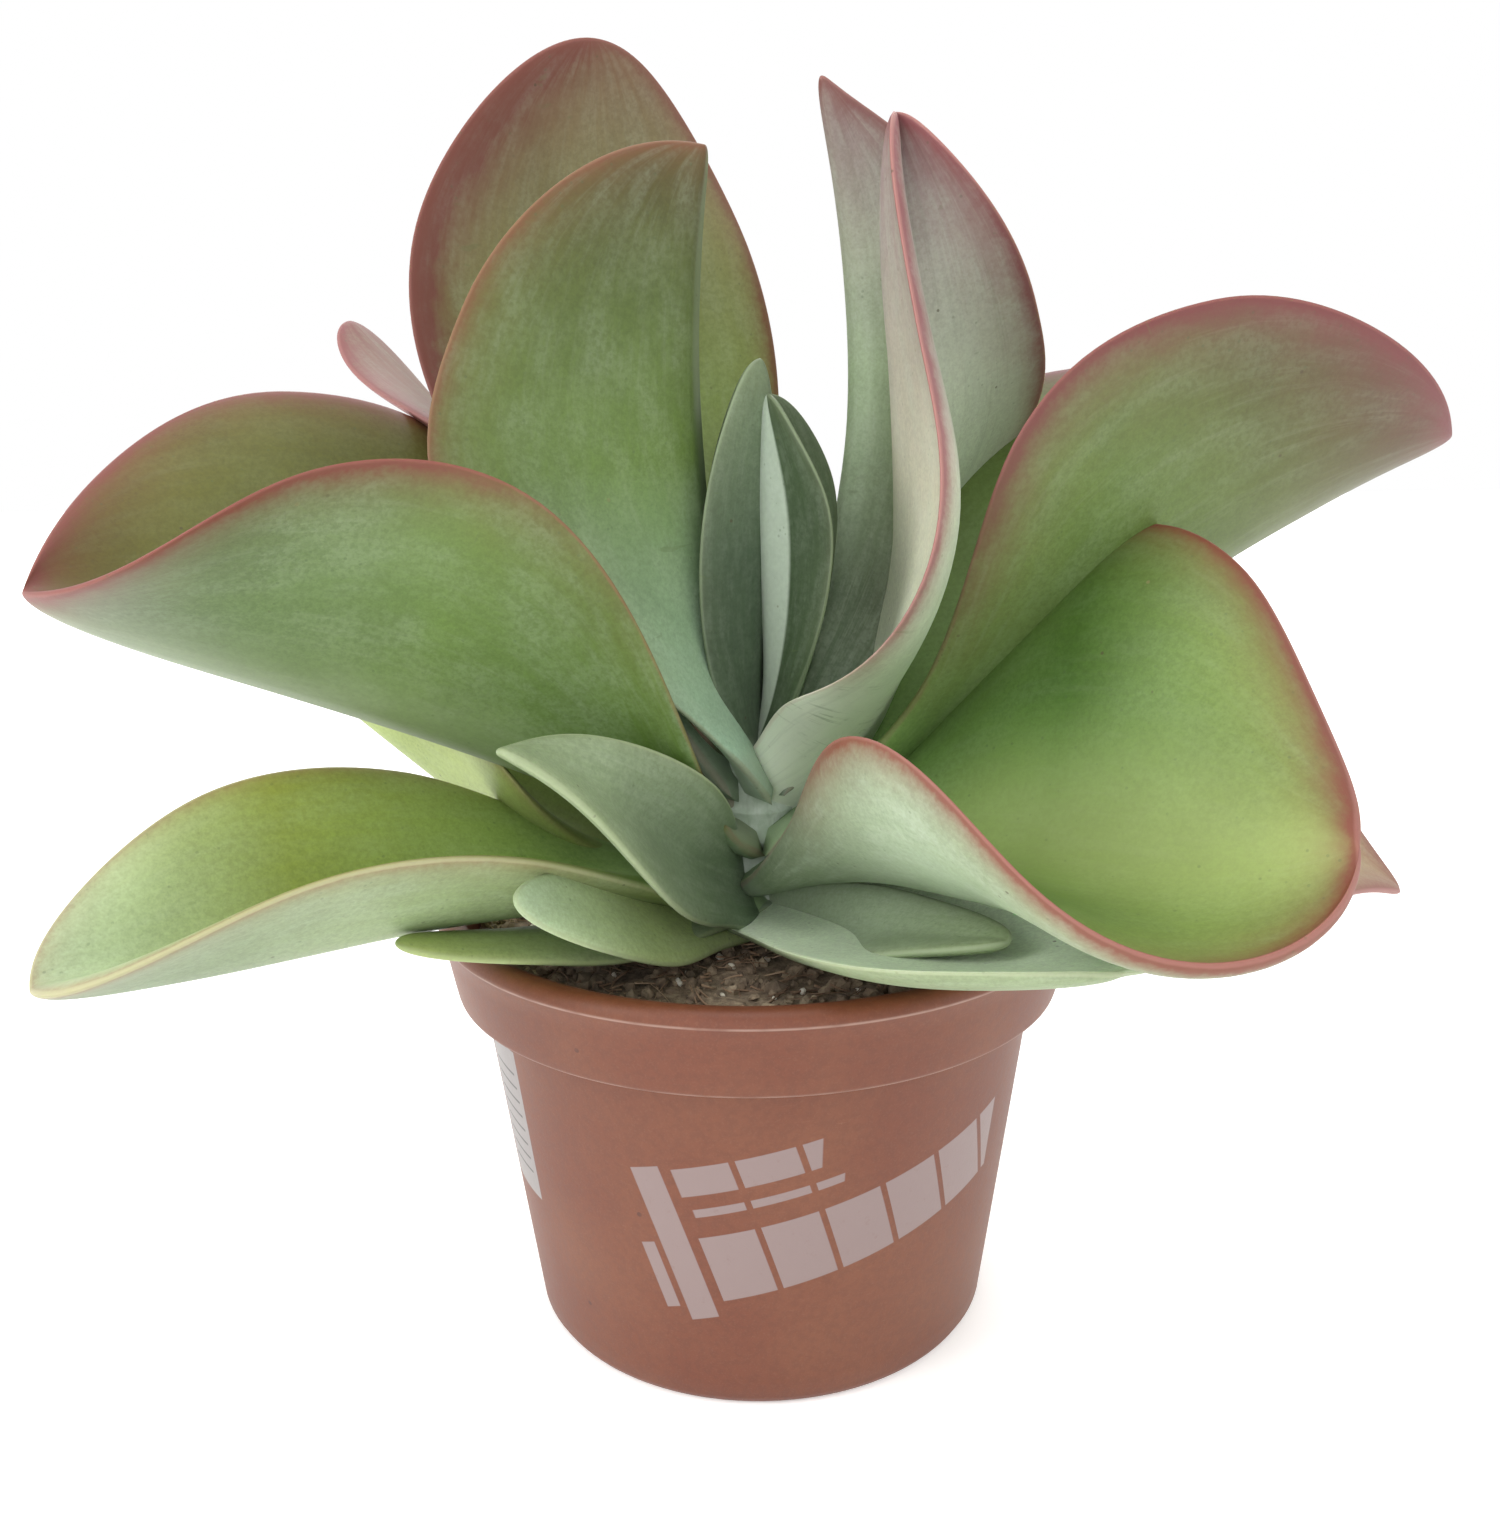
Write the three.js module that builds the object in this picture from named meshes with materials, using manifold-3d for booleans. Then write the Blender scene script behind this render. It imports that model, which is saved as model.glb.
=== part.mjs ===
// A paddle plant in its nursery pot: broad fleshy leaves in a rosette round a short stem.
// Millimetres, +Z up. The origin is the middle of the pot's underside, +X is to the right of
// the plant's front and +Y points away from the front.
import * as THREE from 'three';
import { mergeVertices } from 'three/addons/utils/BufferGeometryUtils.js';
import Module from 'manifold-3d';

// pot
const potHeight = 89;
const footRadius = 47.5;
const wallTopRadius = 57;
const bandBottom = 72;
const bandBottomRadius = 61.8;
const rimRadius = 65;
const lipRadius = 59.6;
const wallThickness = 1.6;
const floorThickness = 2;
const footRounding = 2;
const drainRadius = 4;
const drainCircle = 32;
const drainCount = 6;
const potSegments = 60;

// soil and stem
const soilLevel = 80;
const soilRelief = 1.2;
const stemRootZ = 45;
const stemTopZ = 118;
const stemRadius = 8.8;
const stemTopRadius = 7.4;
const nodeRingSpacing = 6;
const nodeRingHeight = 0.35;
const nodeRingReach = 1.4;
const stemSegments = 24;
const soilSegments = 48;

// clearance left between neighbouring pieces
const gap = 0.3;

// leaves: how finely they are faceted, and how blunt their margin is
const largeLeafRows = 12;
const largeLeafColumns = 6;
const smallLeafRows = 8;
const smallLeafColumns = 4;
const smallLeafLength = 90;
const marginBluntness = 0.55;
const midribSteps = 40;
const bladeSteps = 24;

// A leaf starts on the stem's axis at height base and heads off at an angle round the axis
// (0 is +X, 90 is +Y), swinging round by swing degrees towards its tip. rise gives the midrib's
// slope above level along its length, width the full width at five even stations, and thick the
// thickness at the foot, the middle and the tip. twist turns the blade about its midrib; foldLeft
// and foldRight turn its two halves up (+) or down (-), at the foot, the middle and the tip; curl
// bends their outer parts further. crease is the share of each half over which the fold turns.
const leaves = {
  leaf_front_right_wide: {
    base: 94, heading: -39, swing: -5, length: 124, rise: [15, 29, -23, 30],
    width: [19, 59, 125, 123, 79], thick: [7, 5.5, 3.4], twist: [29, 49, 64],
    foldLeft: [-40, 17, -24], foldRight: [-4, 76, 11], curl: [-35, 65], crease: 0.45,
  },
  leaf_front_left_short: {
    base: 87, heading: 246, swing: -16, length: 95, rise: [24, 30, 46, 25],
    width: [18, 23, 30, 24, 16.5], thick: [5, 4.5, 2.8], twist: [-46, -76, -6],
    foldLeft: [6, 26, -8], foldRight: [-7, 49, -15], curl: [-2, 0], crease: 0.45,
  },
  leaf_right_small_upper: {
    base: 87, heading: -62, swing: 15, length: 77.5, rise: [2, 5, 20, 14],
    width: [12, 15, 20, 19, 16], thick: [4, 4, 2.6], twist: [88, 40, 19],
    foldLeft: [13, 11, 1], foldRight: [-2, 20, 21], curl: [4, 5], crease: 0.45,
  },
  leaf_left_small_upper: {
    base: 83, heading: 237, swing: -1, length: 78, rise: [0, 27, 28, 21],
    width: [12, 13, 21, 18, 14], thick: [4, 4, 2.6], twist: [-20, -40, -60],
    foldLeft: [4, 4, 4], foldRight: [4, 4, 4], curl: [0, 0], crease: 0.45,
  },
  leaf_right_upright: {
    base: 104, heading: 16, swing: -24, length: 149, rise: [12, 109, 102, 85],
    width: [35, 101, 118, 67, 49], thick: [6.5, 4.6, 2.8], twist: [5, -9, -62],
    foldLeft: [-4, -24, -80], foldRight: [64, -7, -72], curl: [-9, 37], crease: 0.12,
  },
  leaf_inner_right: {
    base: 114, heading: -20, swing: -3, length: 75, rise: [60, 115, 87, 87],
    width: [12, 24, 37, 43, 35], thick: [5, 3.8, 2.4], twist: [0, 0, -2],
    foldLeft: [1, -26, -20], foldRight: [-8, -62, -48], curl: [0, 2], crease: 0.25,
  },
  leaf_inner_left: {
    base: 114, heading: 181, swing: -1, length: 81, rise: [83, 102, 102, 79],
    width: [22, 32, 35, 33, 27], thick: [5, 3.8, 2.4], twist: [-1, -3, -1],
    foldLeft: [-1, -44, -42], foldRight: [0, -49, -48], curl: [0, 2], crease: 0.25,
  },
  leaf_left_wide: {
    base: 100, heading: 195, swing: 12, length: 143, rise: [20, 42, 5, 29],
    width: [20, 83, 131, 140, 150], thick: [7, 5.5, 3.4], twist: [9, -32, -3],
    foldLeft: [-22, 92, 12], foldRight: [-5, 25, 46], curl: [0, -25], crease: 0.45,
  },
  leaf_right_wide: {
    base: 99, heading: 9, swing: -20, length: 160, rise: [26, 43, 27, 23],
    width: [33, 47, 137, 146, 124], thick: [7, 5.5, 3.4], twist: [13, 24, -6],
    foldLeft: [46, 23, 35], foldRight: [21, 82, 34], curl: [-10, 5], crease: 0.45,
  },
  leaf_left_upright: {
    base: 109, heading: 183, swing: 0, length: 125, rise: [74, 81, 91, 100],
    width: [26, 62, 111, 98, 75], thick: [6.5, 4.6, 2.8], twist: [3, 6, 6],
    foldLeft: [10, -60, -80], foldRight: [8, -62, -82], curl: [0, 0], crease: 0.12,
  },
  leaf_left_low: {
    base: 88, heading: 214, swing: -8, length: 138, rise: [16, 7, -9, 3],
    width: [22, 36, 60, 69, 57], thick: [7, 5.5, 3.4], twist: [7, -4, -2],
    foldLeft: [-37, 49, 19], foldRight: [-19, 56, 40], curl: [-14, -15], crease: 0.45,
  },
  leaf_right_small_lower: {
    base: 85, heading: -55, swing: 1, length: 99, rise: [10, 8, -1, 22],
    width: [24, 38, 54, 60, 49], thick: [4.5, 4.2, 2.6], twist: [12, 8, 1],
    foldLeft: [20, 19, -15], foldRight: [0, 9, 10], curl: [-2, 31], crease: 0.45,
  },
  leaf_left_small_lower: {
    base: 85, heading: 222, swing: -1, length: 84, rise: [8, 1, 12, 16],
    width: [20, 23, 26, 17, 14], thick: [4.5, 4.2, 2.6], twist: [0, 1, -6],
    foldLeft: [20, -10, -4], foldRight: [19, -10, 9], curl: [-2, -4], crease: 0.45,
  },
  leaf_inner_small: {
    base: 117, heading: 150, swing: 0, length: 34, rise: [80, 88, 92, 92],
    width: [10, 15, 17, 14, 8], thick: [4, 3, 2], twist: [0, 0, 0],
    foldLeft: [10, 15, 15], foldRight: [10, 15, 15], curl: [0, 0], crease: 0.45,
  },
  leaf_back_left_tall: {
    base: 106, heading: 130, swing: -12, length: 170, rise: [47, 54, 73, 117],
    width: [27, 44, 79, 87, 65], thick: [7, 5.5, 3.4], twist: [5, -5, 4],
    foldLeft: [36, 15, 4], foldRight: [32, 20, -1], curl: [-1, -1], crease: 0.45,
  },
  leaf_back_right_upright: {
    base: 109, heading: 45, swing: 22, length: 150, rise: [53, 57, 95, 132],
    width: [22, 30, 51, 69, 10], thick: [6.5, 4.6, 2.8], twist: [-15, 5, -5],
    foldLeft: [-15, -59, -60], foldRight: [0, -62, -52], curl: [9, 3], crease: 0.12,
  },
  leaf_left_under: {
    base: 91, heading: 169, swing: 5, length: 107, rise: [2, 9, 53, 31],
    width: [19, 32, 71, 40, 44], thick: [7, 5.5, 3.4], twist: [-20, -8, 4],
    foldLeft: [12, 48, 46], foldRight: [40, 40, 30], curl: [0, 0], crease: 0.45,
  },
  leaf_back_left_narrow: {
    base: 99, heading: 146, swing: 2, length: 152, rise: [61, 51, 21, 45],
    width: [16, 28, 44, 46, 32], thick: [7, 5.5, 3.4], twist: [-6, 35, 6],
    foldLeft: [45, 5, -16], foldRight: [46, -1, -3], curl: [-10, 0], crease: 0.45,
  },
  leaf_right_under: {
    base: 90, heading: 8, swing: -10, length: 147, rise: [29, 5, -19, -29],
    width: [19, 33, 51, 69, 18], thick: [7, 5.5, 3.4], twist: [-4, 19, 12],
    foldLeft: [39, 34, 30], foldRight: [42, 18, 9], curl: [4, -6], crease: 0.45,
  },
  leaf_back_wide: {
    base: 97, heading: 78, swing: -6, length: 122, rise: [30, 22, 10, 6],
    width: [26, 48, 82, 92, 70], thick: [7, 5.5, 3.4], twist: [0, 4, 6],
    foldLeft: [30, 30, 18], foldRight: [30, 26, 14], curl: [0, 0], crease: 0.45,
  },
  leaf_back_small: {
    base: 89, heading: 112, swing: 6, length: 84, rise: [14, 8, 4, 12],
    width: [22, 34, 48, 50, 36], thick: [4.5, 4.2, 2.6], twist: [0, 0, 0],
    foldLeft: [25, 20, 10], foldRight: [25, 20, 10], curl: [0, 0], crease: 0.45,
  },
};

const wasm = await Module();
wasm.setup();

// a closed geometry as a manifold solid, with its shared vertices merged
function toSolid(geometry) {
  const plain = new THREE.BufferGeometry();
  plain.setAttribute('position', geometry.getAttribute('position'));
  plain.setIndex(geometry.index);
  const merged = mergeVertices(plain, 1e-4);
  const kept = [];
  const index = merged.index.array;
  for (let i = 0; i < index.length; i += 3) {
    const [a, b, c] = [index[i], index[i + 1], index[i + 2]];
    if (a !== b && b !== c && c !== a) kept.push(a, b, c);
  }
  return new wasm.Manifold(new wasm.Mesh({
    numProp: 3,
    vertProperties: new Float32Array(merged.attributes.position.array),
    triVerts: new Uint32Array(kept),
  }));
}

// a manifold solid back as a flat-shaded geometry
function toGeometry(solid) {
  const mesh = solid.getMesh();
  const geometry = new THREE.BufferGeometry();
  geometry.setAttribute('position', new THREE.BufferAttribute(new Float32Array(mesh.vertProperties), 3));
  geometry.setIndex(new THREE.BufferAttribute(new Uint32Array(mesh.triVerts), 1));
  return geometry;
}

// the biggest separate body of a solid, so that no cut leaves crumbs behind
function biggestBody(solid) {
  const bodies = solid.decompose();
  return bodies.reduce((best, body) => (body.volume() > best.volume() ? body : best));
}

// a solid turned about the Z axis, from [radius, height] pairs that start and end on the axis
function turned(profile, segments) {
  const points = profile.map(([radius, height]) => new THREE.Vector2(radius, height));
  const geometry = new THREE.LatheGeometry(points, segments);
  geometry.rotateX(Math.PI / 2);
  return toSolid(geometry);
}

// seeded pseudo-random numbers between 0 and 1
function seeded(seed) {
  let state = seed;
  return () => {
    state = (state * 1664525 + 1013904223) % 4294967296;
    return state / 4294967296;
  };
}

// radius of the pot's wall outside, below the band
function wallRadius(height) {
  return THREE.MathUtils.mapLinear(height, 0, bandBottom, footRadius, wallTopRadius);
}

function potProfile() {
  const inner = (height) => wallRadius(height) - wallThickness;
  return [
    [0, 0],
    [footRadius - footRounding, 0],
    [footRadius - footRounding * 0.3, footRounding * 0.3],
    [wallRadius(footRounding), footRounding],
    [wallRadius(bandBottom), bandBottom],
    [bandBottomRadius - 0.5, bandBottom],
    [bandBottomRadius, bandBottom + 0.5],
    [rimRadius - 0.7, potHeight - 2.6],
    [rimRadius, potHeight - 1.9],
    [rimRadius - 0.5, potHeight - 0.6],
    [rimRadius - 1.8, potHeight],
    [lipRadius + 1.6, potHeight],
    [lipRadius + 0.4, potHeight - 0.7],
    [lipRadius, potHeight - 2],
    [lipRadius - 0.6, bandBottom + 4],
    [inner(bandBottom), bandBottom],
    [inner(floorThickness), floorThickness],
    [0, floorThickness],
  ];
}

function makePot() {
  let pot = turned(potProfile(), potSegments);
  for (let i = 0; i < drainCount; i++) {
    const angle = (2 * Math.PI * (i + 0.5)) / drainCount;
    const drill = new THREE.CylinderGeometry(drainRadius, drainRadius, floorThickness * 3, 20);
    drill.rotateX(Math.PI / 2);
    drill.translate(drainCircle * Math.cos(angle), drainCircle * Math.sin(angle), 0);
    pot = pot.subtract(toSolid(drill));
  }
  return pot;
}

// the stem: slightly tapered, with a low ring at each leaf joint and a rounded top
function makeStem(grown) {
  const taper = (z) => THREE.MathUtils.mapLinear(z, soilLevel, stemTopZ, stemRadius, stemTopRadius);
  const profile = [[0, stemRootZ - grown], [stemRadius + grown, stemRootZ - grown]];
  for (let z = soilLevel + nodeRingSpacing / 2; z < stemTopZ - 5; z += nodeRingSpacing) {
    profile.push([taper(z) + grown, z - nodeRingReach]);
    profile.push([taper(z) + nodeRingHeight + grown, z]);
    profile.push([taper(z) + grown, z + nodeRingReach]);
  }
  profile.push([stemTopRadius + grown, stemTopZ - 3]);
  profile.push([stemTopRadius * 0.75 + grown, stemTopZ - 1 + grown]);
  profile.push([stemTopRadius * 0.35 + grown, stemTopZ - 0.2 + grown]);
  profile.push([0, stemTopZ + grown]);
  return turned(profile, stemSegments);
}

// the soil: a plug that fills the pot, with an uneven top and a plain hole for the stem
function makeSoil() {
  const random = seeded(7);
  const inner = (height) => wallRadius(height) - wallThickness - gap;
  const floor = floorThickness + gap;
  const profile = [
    [0, floor],
    [inner(floor), floor],
    [inner(bandBottom), bandBottom],
    [lipRadius - 0.6 - gap, bandBottom + 4 + gap],
    [lipRadius - 0.5 - gap, soilLevel - 1],
    [lipRadius - 2.5 - gap, soilLevel],
  ];
  for (const radius of [50, 40, 30, 21, 13, 0]) profile.push([radius, soilLevel]);
  const points = profile.map(([radius, height]) => new THREE.Vector2(radius, height));
  const lathe = new THREE.LatheGeometry(points, soilSegments);
  lathe.rotateX(Math.PI / 2);
  const plain = new THREE.BufferGeometry();
  plain.setAttribute('position', lathe.getAttribute('position'));
  plain.setIndex(lathe.index);
  const merged = mergeVertices(plain, 1e-3);
  const position = merged.getAttribute('position');
  for (let i = 0; i < position.count; i++) {
    const radius = Math.hypot(position.getX(i), position.getY(i));
    const onTop = position.getZ(i) > soilLevel - 0.5 && radius < 52;
    if (onTop) position.setZ(i, position.getZ(i) + (random() - 0.5) * 2 * soilRelief);
  }
  return biggestBody(toSolid(merged).subtract(makeStem(gap)));
}

const rise = (v, s) => v[0] * (1 - s) ** 3 + 3 * v[1] * s * (1 - s) ** 2
  + 3 * v[2] * s * s * (1 - s) + v[3] * s ** 3;

// a smooth value through those at the foot, the middle and the tip
const through = (v, s) => v[0] * (1 - s) * (1 - 2 * s) + 4 * v[1] * s * (1 - s)
  + v[2] * s * (2 * s - 1);

// half the leaf's width: a smooth curve through its stations, closed by a round tip
function halfWidth(leaf, s) {
  const w = leaf.width;
  const last = w.length - 1;
  const padded = [2 * w[0] - w[1], ...w, 2 * w[last] - w[last - 1]];
  const place = Math.min(Math.max(s, 0), 1) * last;
  const i = Math.min(Math.floor(place), last - 1);
  const u = place - i;
  const [a, b, c, d] = padded.slice(i, i + 4);
  const curve = 0.5 * (2 * b + (c - a) * u + (2 * a - 5 * b + 4 * c - d) * u ** 2
    + (3 * b - a - 3 * c + d) * u ** 3);
  return (curve / 2) * Math.sqrt(Math.max(1 - s ** 6, 0));
}

function heading(leaf, s) {
  const up = THREE.MathUtils.degToRad(rise(leaf.rise, s));
  const round = THREE.MathUtils.degToRad(leaf.heading + leaf.swing * s * s);
  return { up, round };
}

function midribPoint(leaf, s) {
  const point = new THREE.Vector3(0, 0, leaf.base);
  const step = leaf.length / midribSteps;
  for (let i = 0; i < midribSteps; i++) {
    const share = Math.min(Math.max(s * midribSteps - i, 0), 1);
    const { up, round } = heading(leaf, (i + 0.5) / midribSteps);
    point.x += share * step * Math.cos(up) * Math.cos(round);
    point.y += share * step * Math.cos(up) * Math.sin(round);
    point.z += share * step * Math.sin(up);
  }
  return point;
}

// a point of the blade: s runs along it from foot to tip, t across it from -1 to 1, and face is 1
// for its upper face and -1 for its lower one
function bladePoint(leaf, s, t, face, grown) {
  const { up, round } = heading(leaf, s);
  const flatNormal = new THREE.Vector3(
    -Math.sin(up) * Math.cos(round), -Math.sin(up) * Math.sin(round), Math.cos(up));
  const flatSide = new THREE.Vector3(Math.sin(round), -Math.cos(round), 0);
  const turn = THREE.MathUtils.degToRad(through(leaf.twist, s));
  const normal = flatNormal.clone().multiplyScalar(Math.cos(turn))
    .addScaledVector(flatSide, Math.sin(turn));
  const side = flatSide.clone().multiplyScalar(Math.cos(turn))
    .addScaledVector(flatNormal, -Math.sin(turn));

  const hand = t < 0 ? -1 : 1;
  const fold = THREE.MathUtils.degToRad(through(hand > 0 ? leaf.foldRight : leaf.foldLeft, s));
  const curl = THREE.MathUtils.degToRad(leaf.curl[hand > 0 ? 1 : 0]);
  let [across, raised, angle] = [0, 0, 0];
  for (let i = 0; i < bladeSteps; i++) {
    const reach = Math.min(Math.max(Math.abs(t) * bladeSteps - i, 0), 1);
    if (reach === 0) break;
    const part = (i + 0.5) / bladeSteps;
    const eased = 1 - (1 - Math.min(part / leaf.crease, 1)) ** 2;
    angle = fold * eased + curl * part ** 3;
    across += (reach * Math.cos(angle)) / bladeSteps;
    raised += (reach * Math.sin(angle)) / bladeSteps;
  }
  if (t === 0) angle = 0;
  const width = halfWidth(leaf, s) + grown * (s < 1 ? 1 : 0);
  const bluntness = Math.abs(t) === 1 || s === 1 ? marginBluntness : 1;
  const halfThick = (through(leaf.thick, s) / 2) * (1 - 0.5 * t * t) * bluntness + grown;
  return midribPoint(leaf, s)
    .addScaledVector(side, hand * across * width)
    .addScaledVector(normal, raised * width)
    .addScaledVector(normal, face * halfThick * Math.cos(angle))
    .addScaledVector(side, -face * hand * halfThick * Math.sin(angle));
}

// the closed solid of a leaf; both faces are split into triangles the same way
function leafSolid(leaf, grown = 0) {
  const small = leaf.length < smallLeafLength;
  const rows = small ? smallLeafRows : largeLeafRows;
  const columns = small ? smallLeafColumns : largeLeafColumns;
  const positions = [];
  for (const face of [1, -1]) {
    for (let i = 0; i <= rows; i++) {
      for (let j = 0; j <= columns; j++) {
        const s = i === rows ? 1 : Math.sin((Math.PI / 2) * (i / rows));
        const across = (2 * j) / columns - 1;
        const t = Math.abs(across) === 1 ? across : Math.sin((Math.PI / 2) * across);
        positions.push(...bladePoint(leaf, s, i === rows ? 0 : t, face, grown).toArray());
      }
    }
  }
  const count = (rows + 1) * (columns + 1);
  const at = (face, i, j) => (face > 0 ? 0 : count) + i * (columns + 1) + j;
  const index = [];
  const quad = (a, b, c, d) => index.push(a, b, c, a, c, d);
  for (let i = 0; i < rows; i++) {
    for (let j = 0; j < columns; j++) {
      quad(at(1, i, j), at(1, i, j + 1), at(1, i + 1, j + 1), at(1, i + 1, j));
      index.push(at(-1, i, j), at(-1, i + 1, j + 1), at(-1, i, j + 1));
      index.push(at(-1, i, j), at(-1, i + 1, j), at(-1, i + 1, j + 1));
    }
    quad(at(1, i, 0), at(1, i + 1, 0), at(-1, i + 1, 0), at(-1, i, 0));
    quad(at(1, i, columns), at(-1, i, columns), at(-1, i + 1, columns), at(1, i + 1, columns));
  }
  for (let j = 0; j < columns; j++) {
    quad(at(1, 0, j), at(-1, 0, j), at(-1, 0, j + 1), at(1, 0, j + 1));
  }
  const geometry = new THREE.BufferGeometry();
  geometry.setAttribute('position', new THREE.Float32BufferAttribute(positions, 3));
  geometry.setIndex(index);
  return toSolid(geometry);
}

const pot = makePot();
const stem = makeStem(0);
const soil = makeSoil();

// each leaf keeps clear of the stem, the pot, the soil and the leaves listed before it
const clearance = makeStem(gap).add(turned(potClearance(), potSegments));
const solids = {};
const grownLeaves = [];
for (const [name, leaf] of Object.entries(leaves)) {
  let solid = leafSolid(leaf).subtract(clearance);
  for (const other of grownLeaves) solid = solid.subtract(other);
  solids[name] = biggestBody(solid);
  grownLeaves.push(leafSolid(leaf, gap));
}

// the pot and soil together, grown by the gap, as a plug that leaves are cut by
function potClearance() {
  const level = soilLevel + soilRelief + gap;
  return [
    [0, -gap],
    [footRadius + gap, -gap],
    [wallTopRadius + gap, bandBottom - gap],
    [bandBottomRadius + gap, bandBottom - gap],
    [rimRadius + gap, potHeight - 2.2],
    [rimRadius - 0.3, potHeight - 0.2 + gap],
    [rimRadius - 1.8, potHeight + gap],
    [lipRadius + 1.4, potHeight + gap],
    [lipRadius - gap, potHeight - 1.2],
    [lipRadius - gap - 0.2, level],
    [0, level],
  ];
}

const colours = {
  pot: '#b5735a',
  soil: '#4a3a2c',
  stem: '#9fae98',
  leaf: '#8fa878',
};

function addMesh(group, name, solid, colour, roughness) {
  const material = new THREE.MeshStandardMaterial({ color: colour, roughness, metalness: 0 });
  const mesh = new THREE.Mesh(toGeometry(solid), material);
  mesh.name = name;
  group.add(mesh);
}

const plant = new THREE.Group();
plant.name = 'paddle_plant';
addMesh(plant, 'pot', pot, colours.pot, 0.6);
addMesh(plant, 'soil', soil, colours.soil, 0.95);
addMesh(plant, 'stem', stem, colours.stem, 0.8);
for (const [name, solid] of Object.entries(solids)) {
  addMesh(plant, name, solid, colours.leaf, 0.55);
}

export default plant;
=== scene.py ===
from math import sin, cos, pi, sqrt, radians, hypot
from random import Random
import bpy
import bmesh
from mathutils import Vector, Matrix, noise
from mathutils.kdtree import KDTree


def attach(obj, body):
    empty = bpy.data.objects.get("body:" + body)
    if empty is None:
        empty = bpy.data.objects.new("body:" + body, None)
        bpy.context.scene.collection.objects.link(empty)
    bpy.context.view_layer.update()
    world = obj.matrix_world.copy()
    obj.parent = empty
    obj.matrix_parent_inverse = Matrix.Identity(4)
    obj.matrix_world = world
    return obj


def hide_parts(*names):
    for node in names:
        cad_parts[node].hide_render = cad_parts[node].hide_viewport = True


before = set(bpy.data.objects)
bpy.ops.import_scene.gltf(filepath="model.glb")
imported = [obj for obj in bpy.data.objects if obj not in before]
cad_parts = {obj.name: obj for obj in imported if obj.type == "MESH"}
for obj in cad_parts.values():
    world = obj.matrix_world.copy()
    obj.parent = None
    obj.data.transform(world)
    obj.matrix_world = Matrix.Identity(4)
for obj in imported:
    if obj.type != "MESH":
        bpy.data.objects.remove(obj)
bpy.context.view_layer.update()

mm = 0.001
print("frame loaded:", len(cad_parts), "nodes")


# shader building: sockets that add, multiply and mix like numbers

class Wire:
    def __init__(self, board, socket):
        self.board = board
        self.socket = socket

    def maths(self, operation, *values, clamp=False):
        settings = {"operation": operation, "use_clamp": clamp}
        return self.board.add("ShaderNodeMath", settings, list(values))[0]

    def __add__(self, other):
        return self.maths("ADD", self, other)

    def __radd__(self, other):
        return self.maths("ADD", other, self)

    def __sub__(self, other):
        return self.maths("SUBTRACT", self, other)

    def __rsub__(self, other):
        return self.maths("SUBTRACT", other, self)

    def __mul__(self, other):
        return self.maths("MULTIPLY", self, other)

    def __rmul__(self, other):
        return self.maths("MULTIPLY", other, self)

    def __truediv__(self, other):
        return self.maths("DIVIDE", self, other)

    def __pow__(self, other):
        return self.maths("POWER", self, other)

    def __gt__(self, other):
        return self.maths("GREATER_THAN", self, other)

    def __abs__(self):
        return self.maths("ABSOLUTE", self)

    def clamped(self):
        return self.maths("ADD", self, 0.0, clamp=True)

    def fading(self, reach):  # 1 at zero, falling off over that reach
        return self.maths("EXPONENT", (0 - self.maths("MAXIMUM", self, 0.0)) / reach)

    def ramp(self, low, high):  # 0 below low, 1 above high, smooth between
        settings = {"interpolation_type": "SMOOTHSTEP"}
        sockets = {"Value": self, "From Min": low, "From Max": high}
        return self.board.add("ShaderNodeMapRange", settings, sockets)[0]


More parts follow.
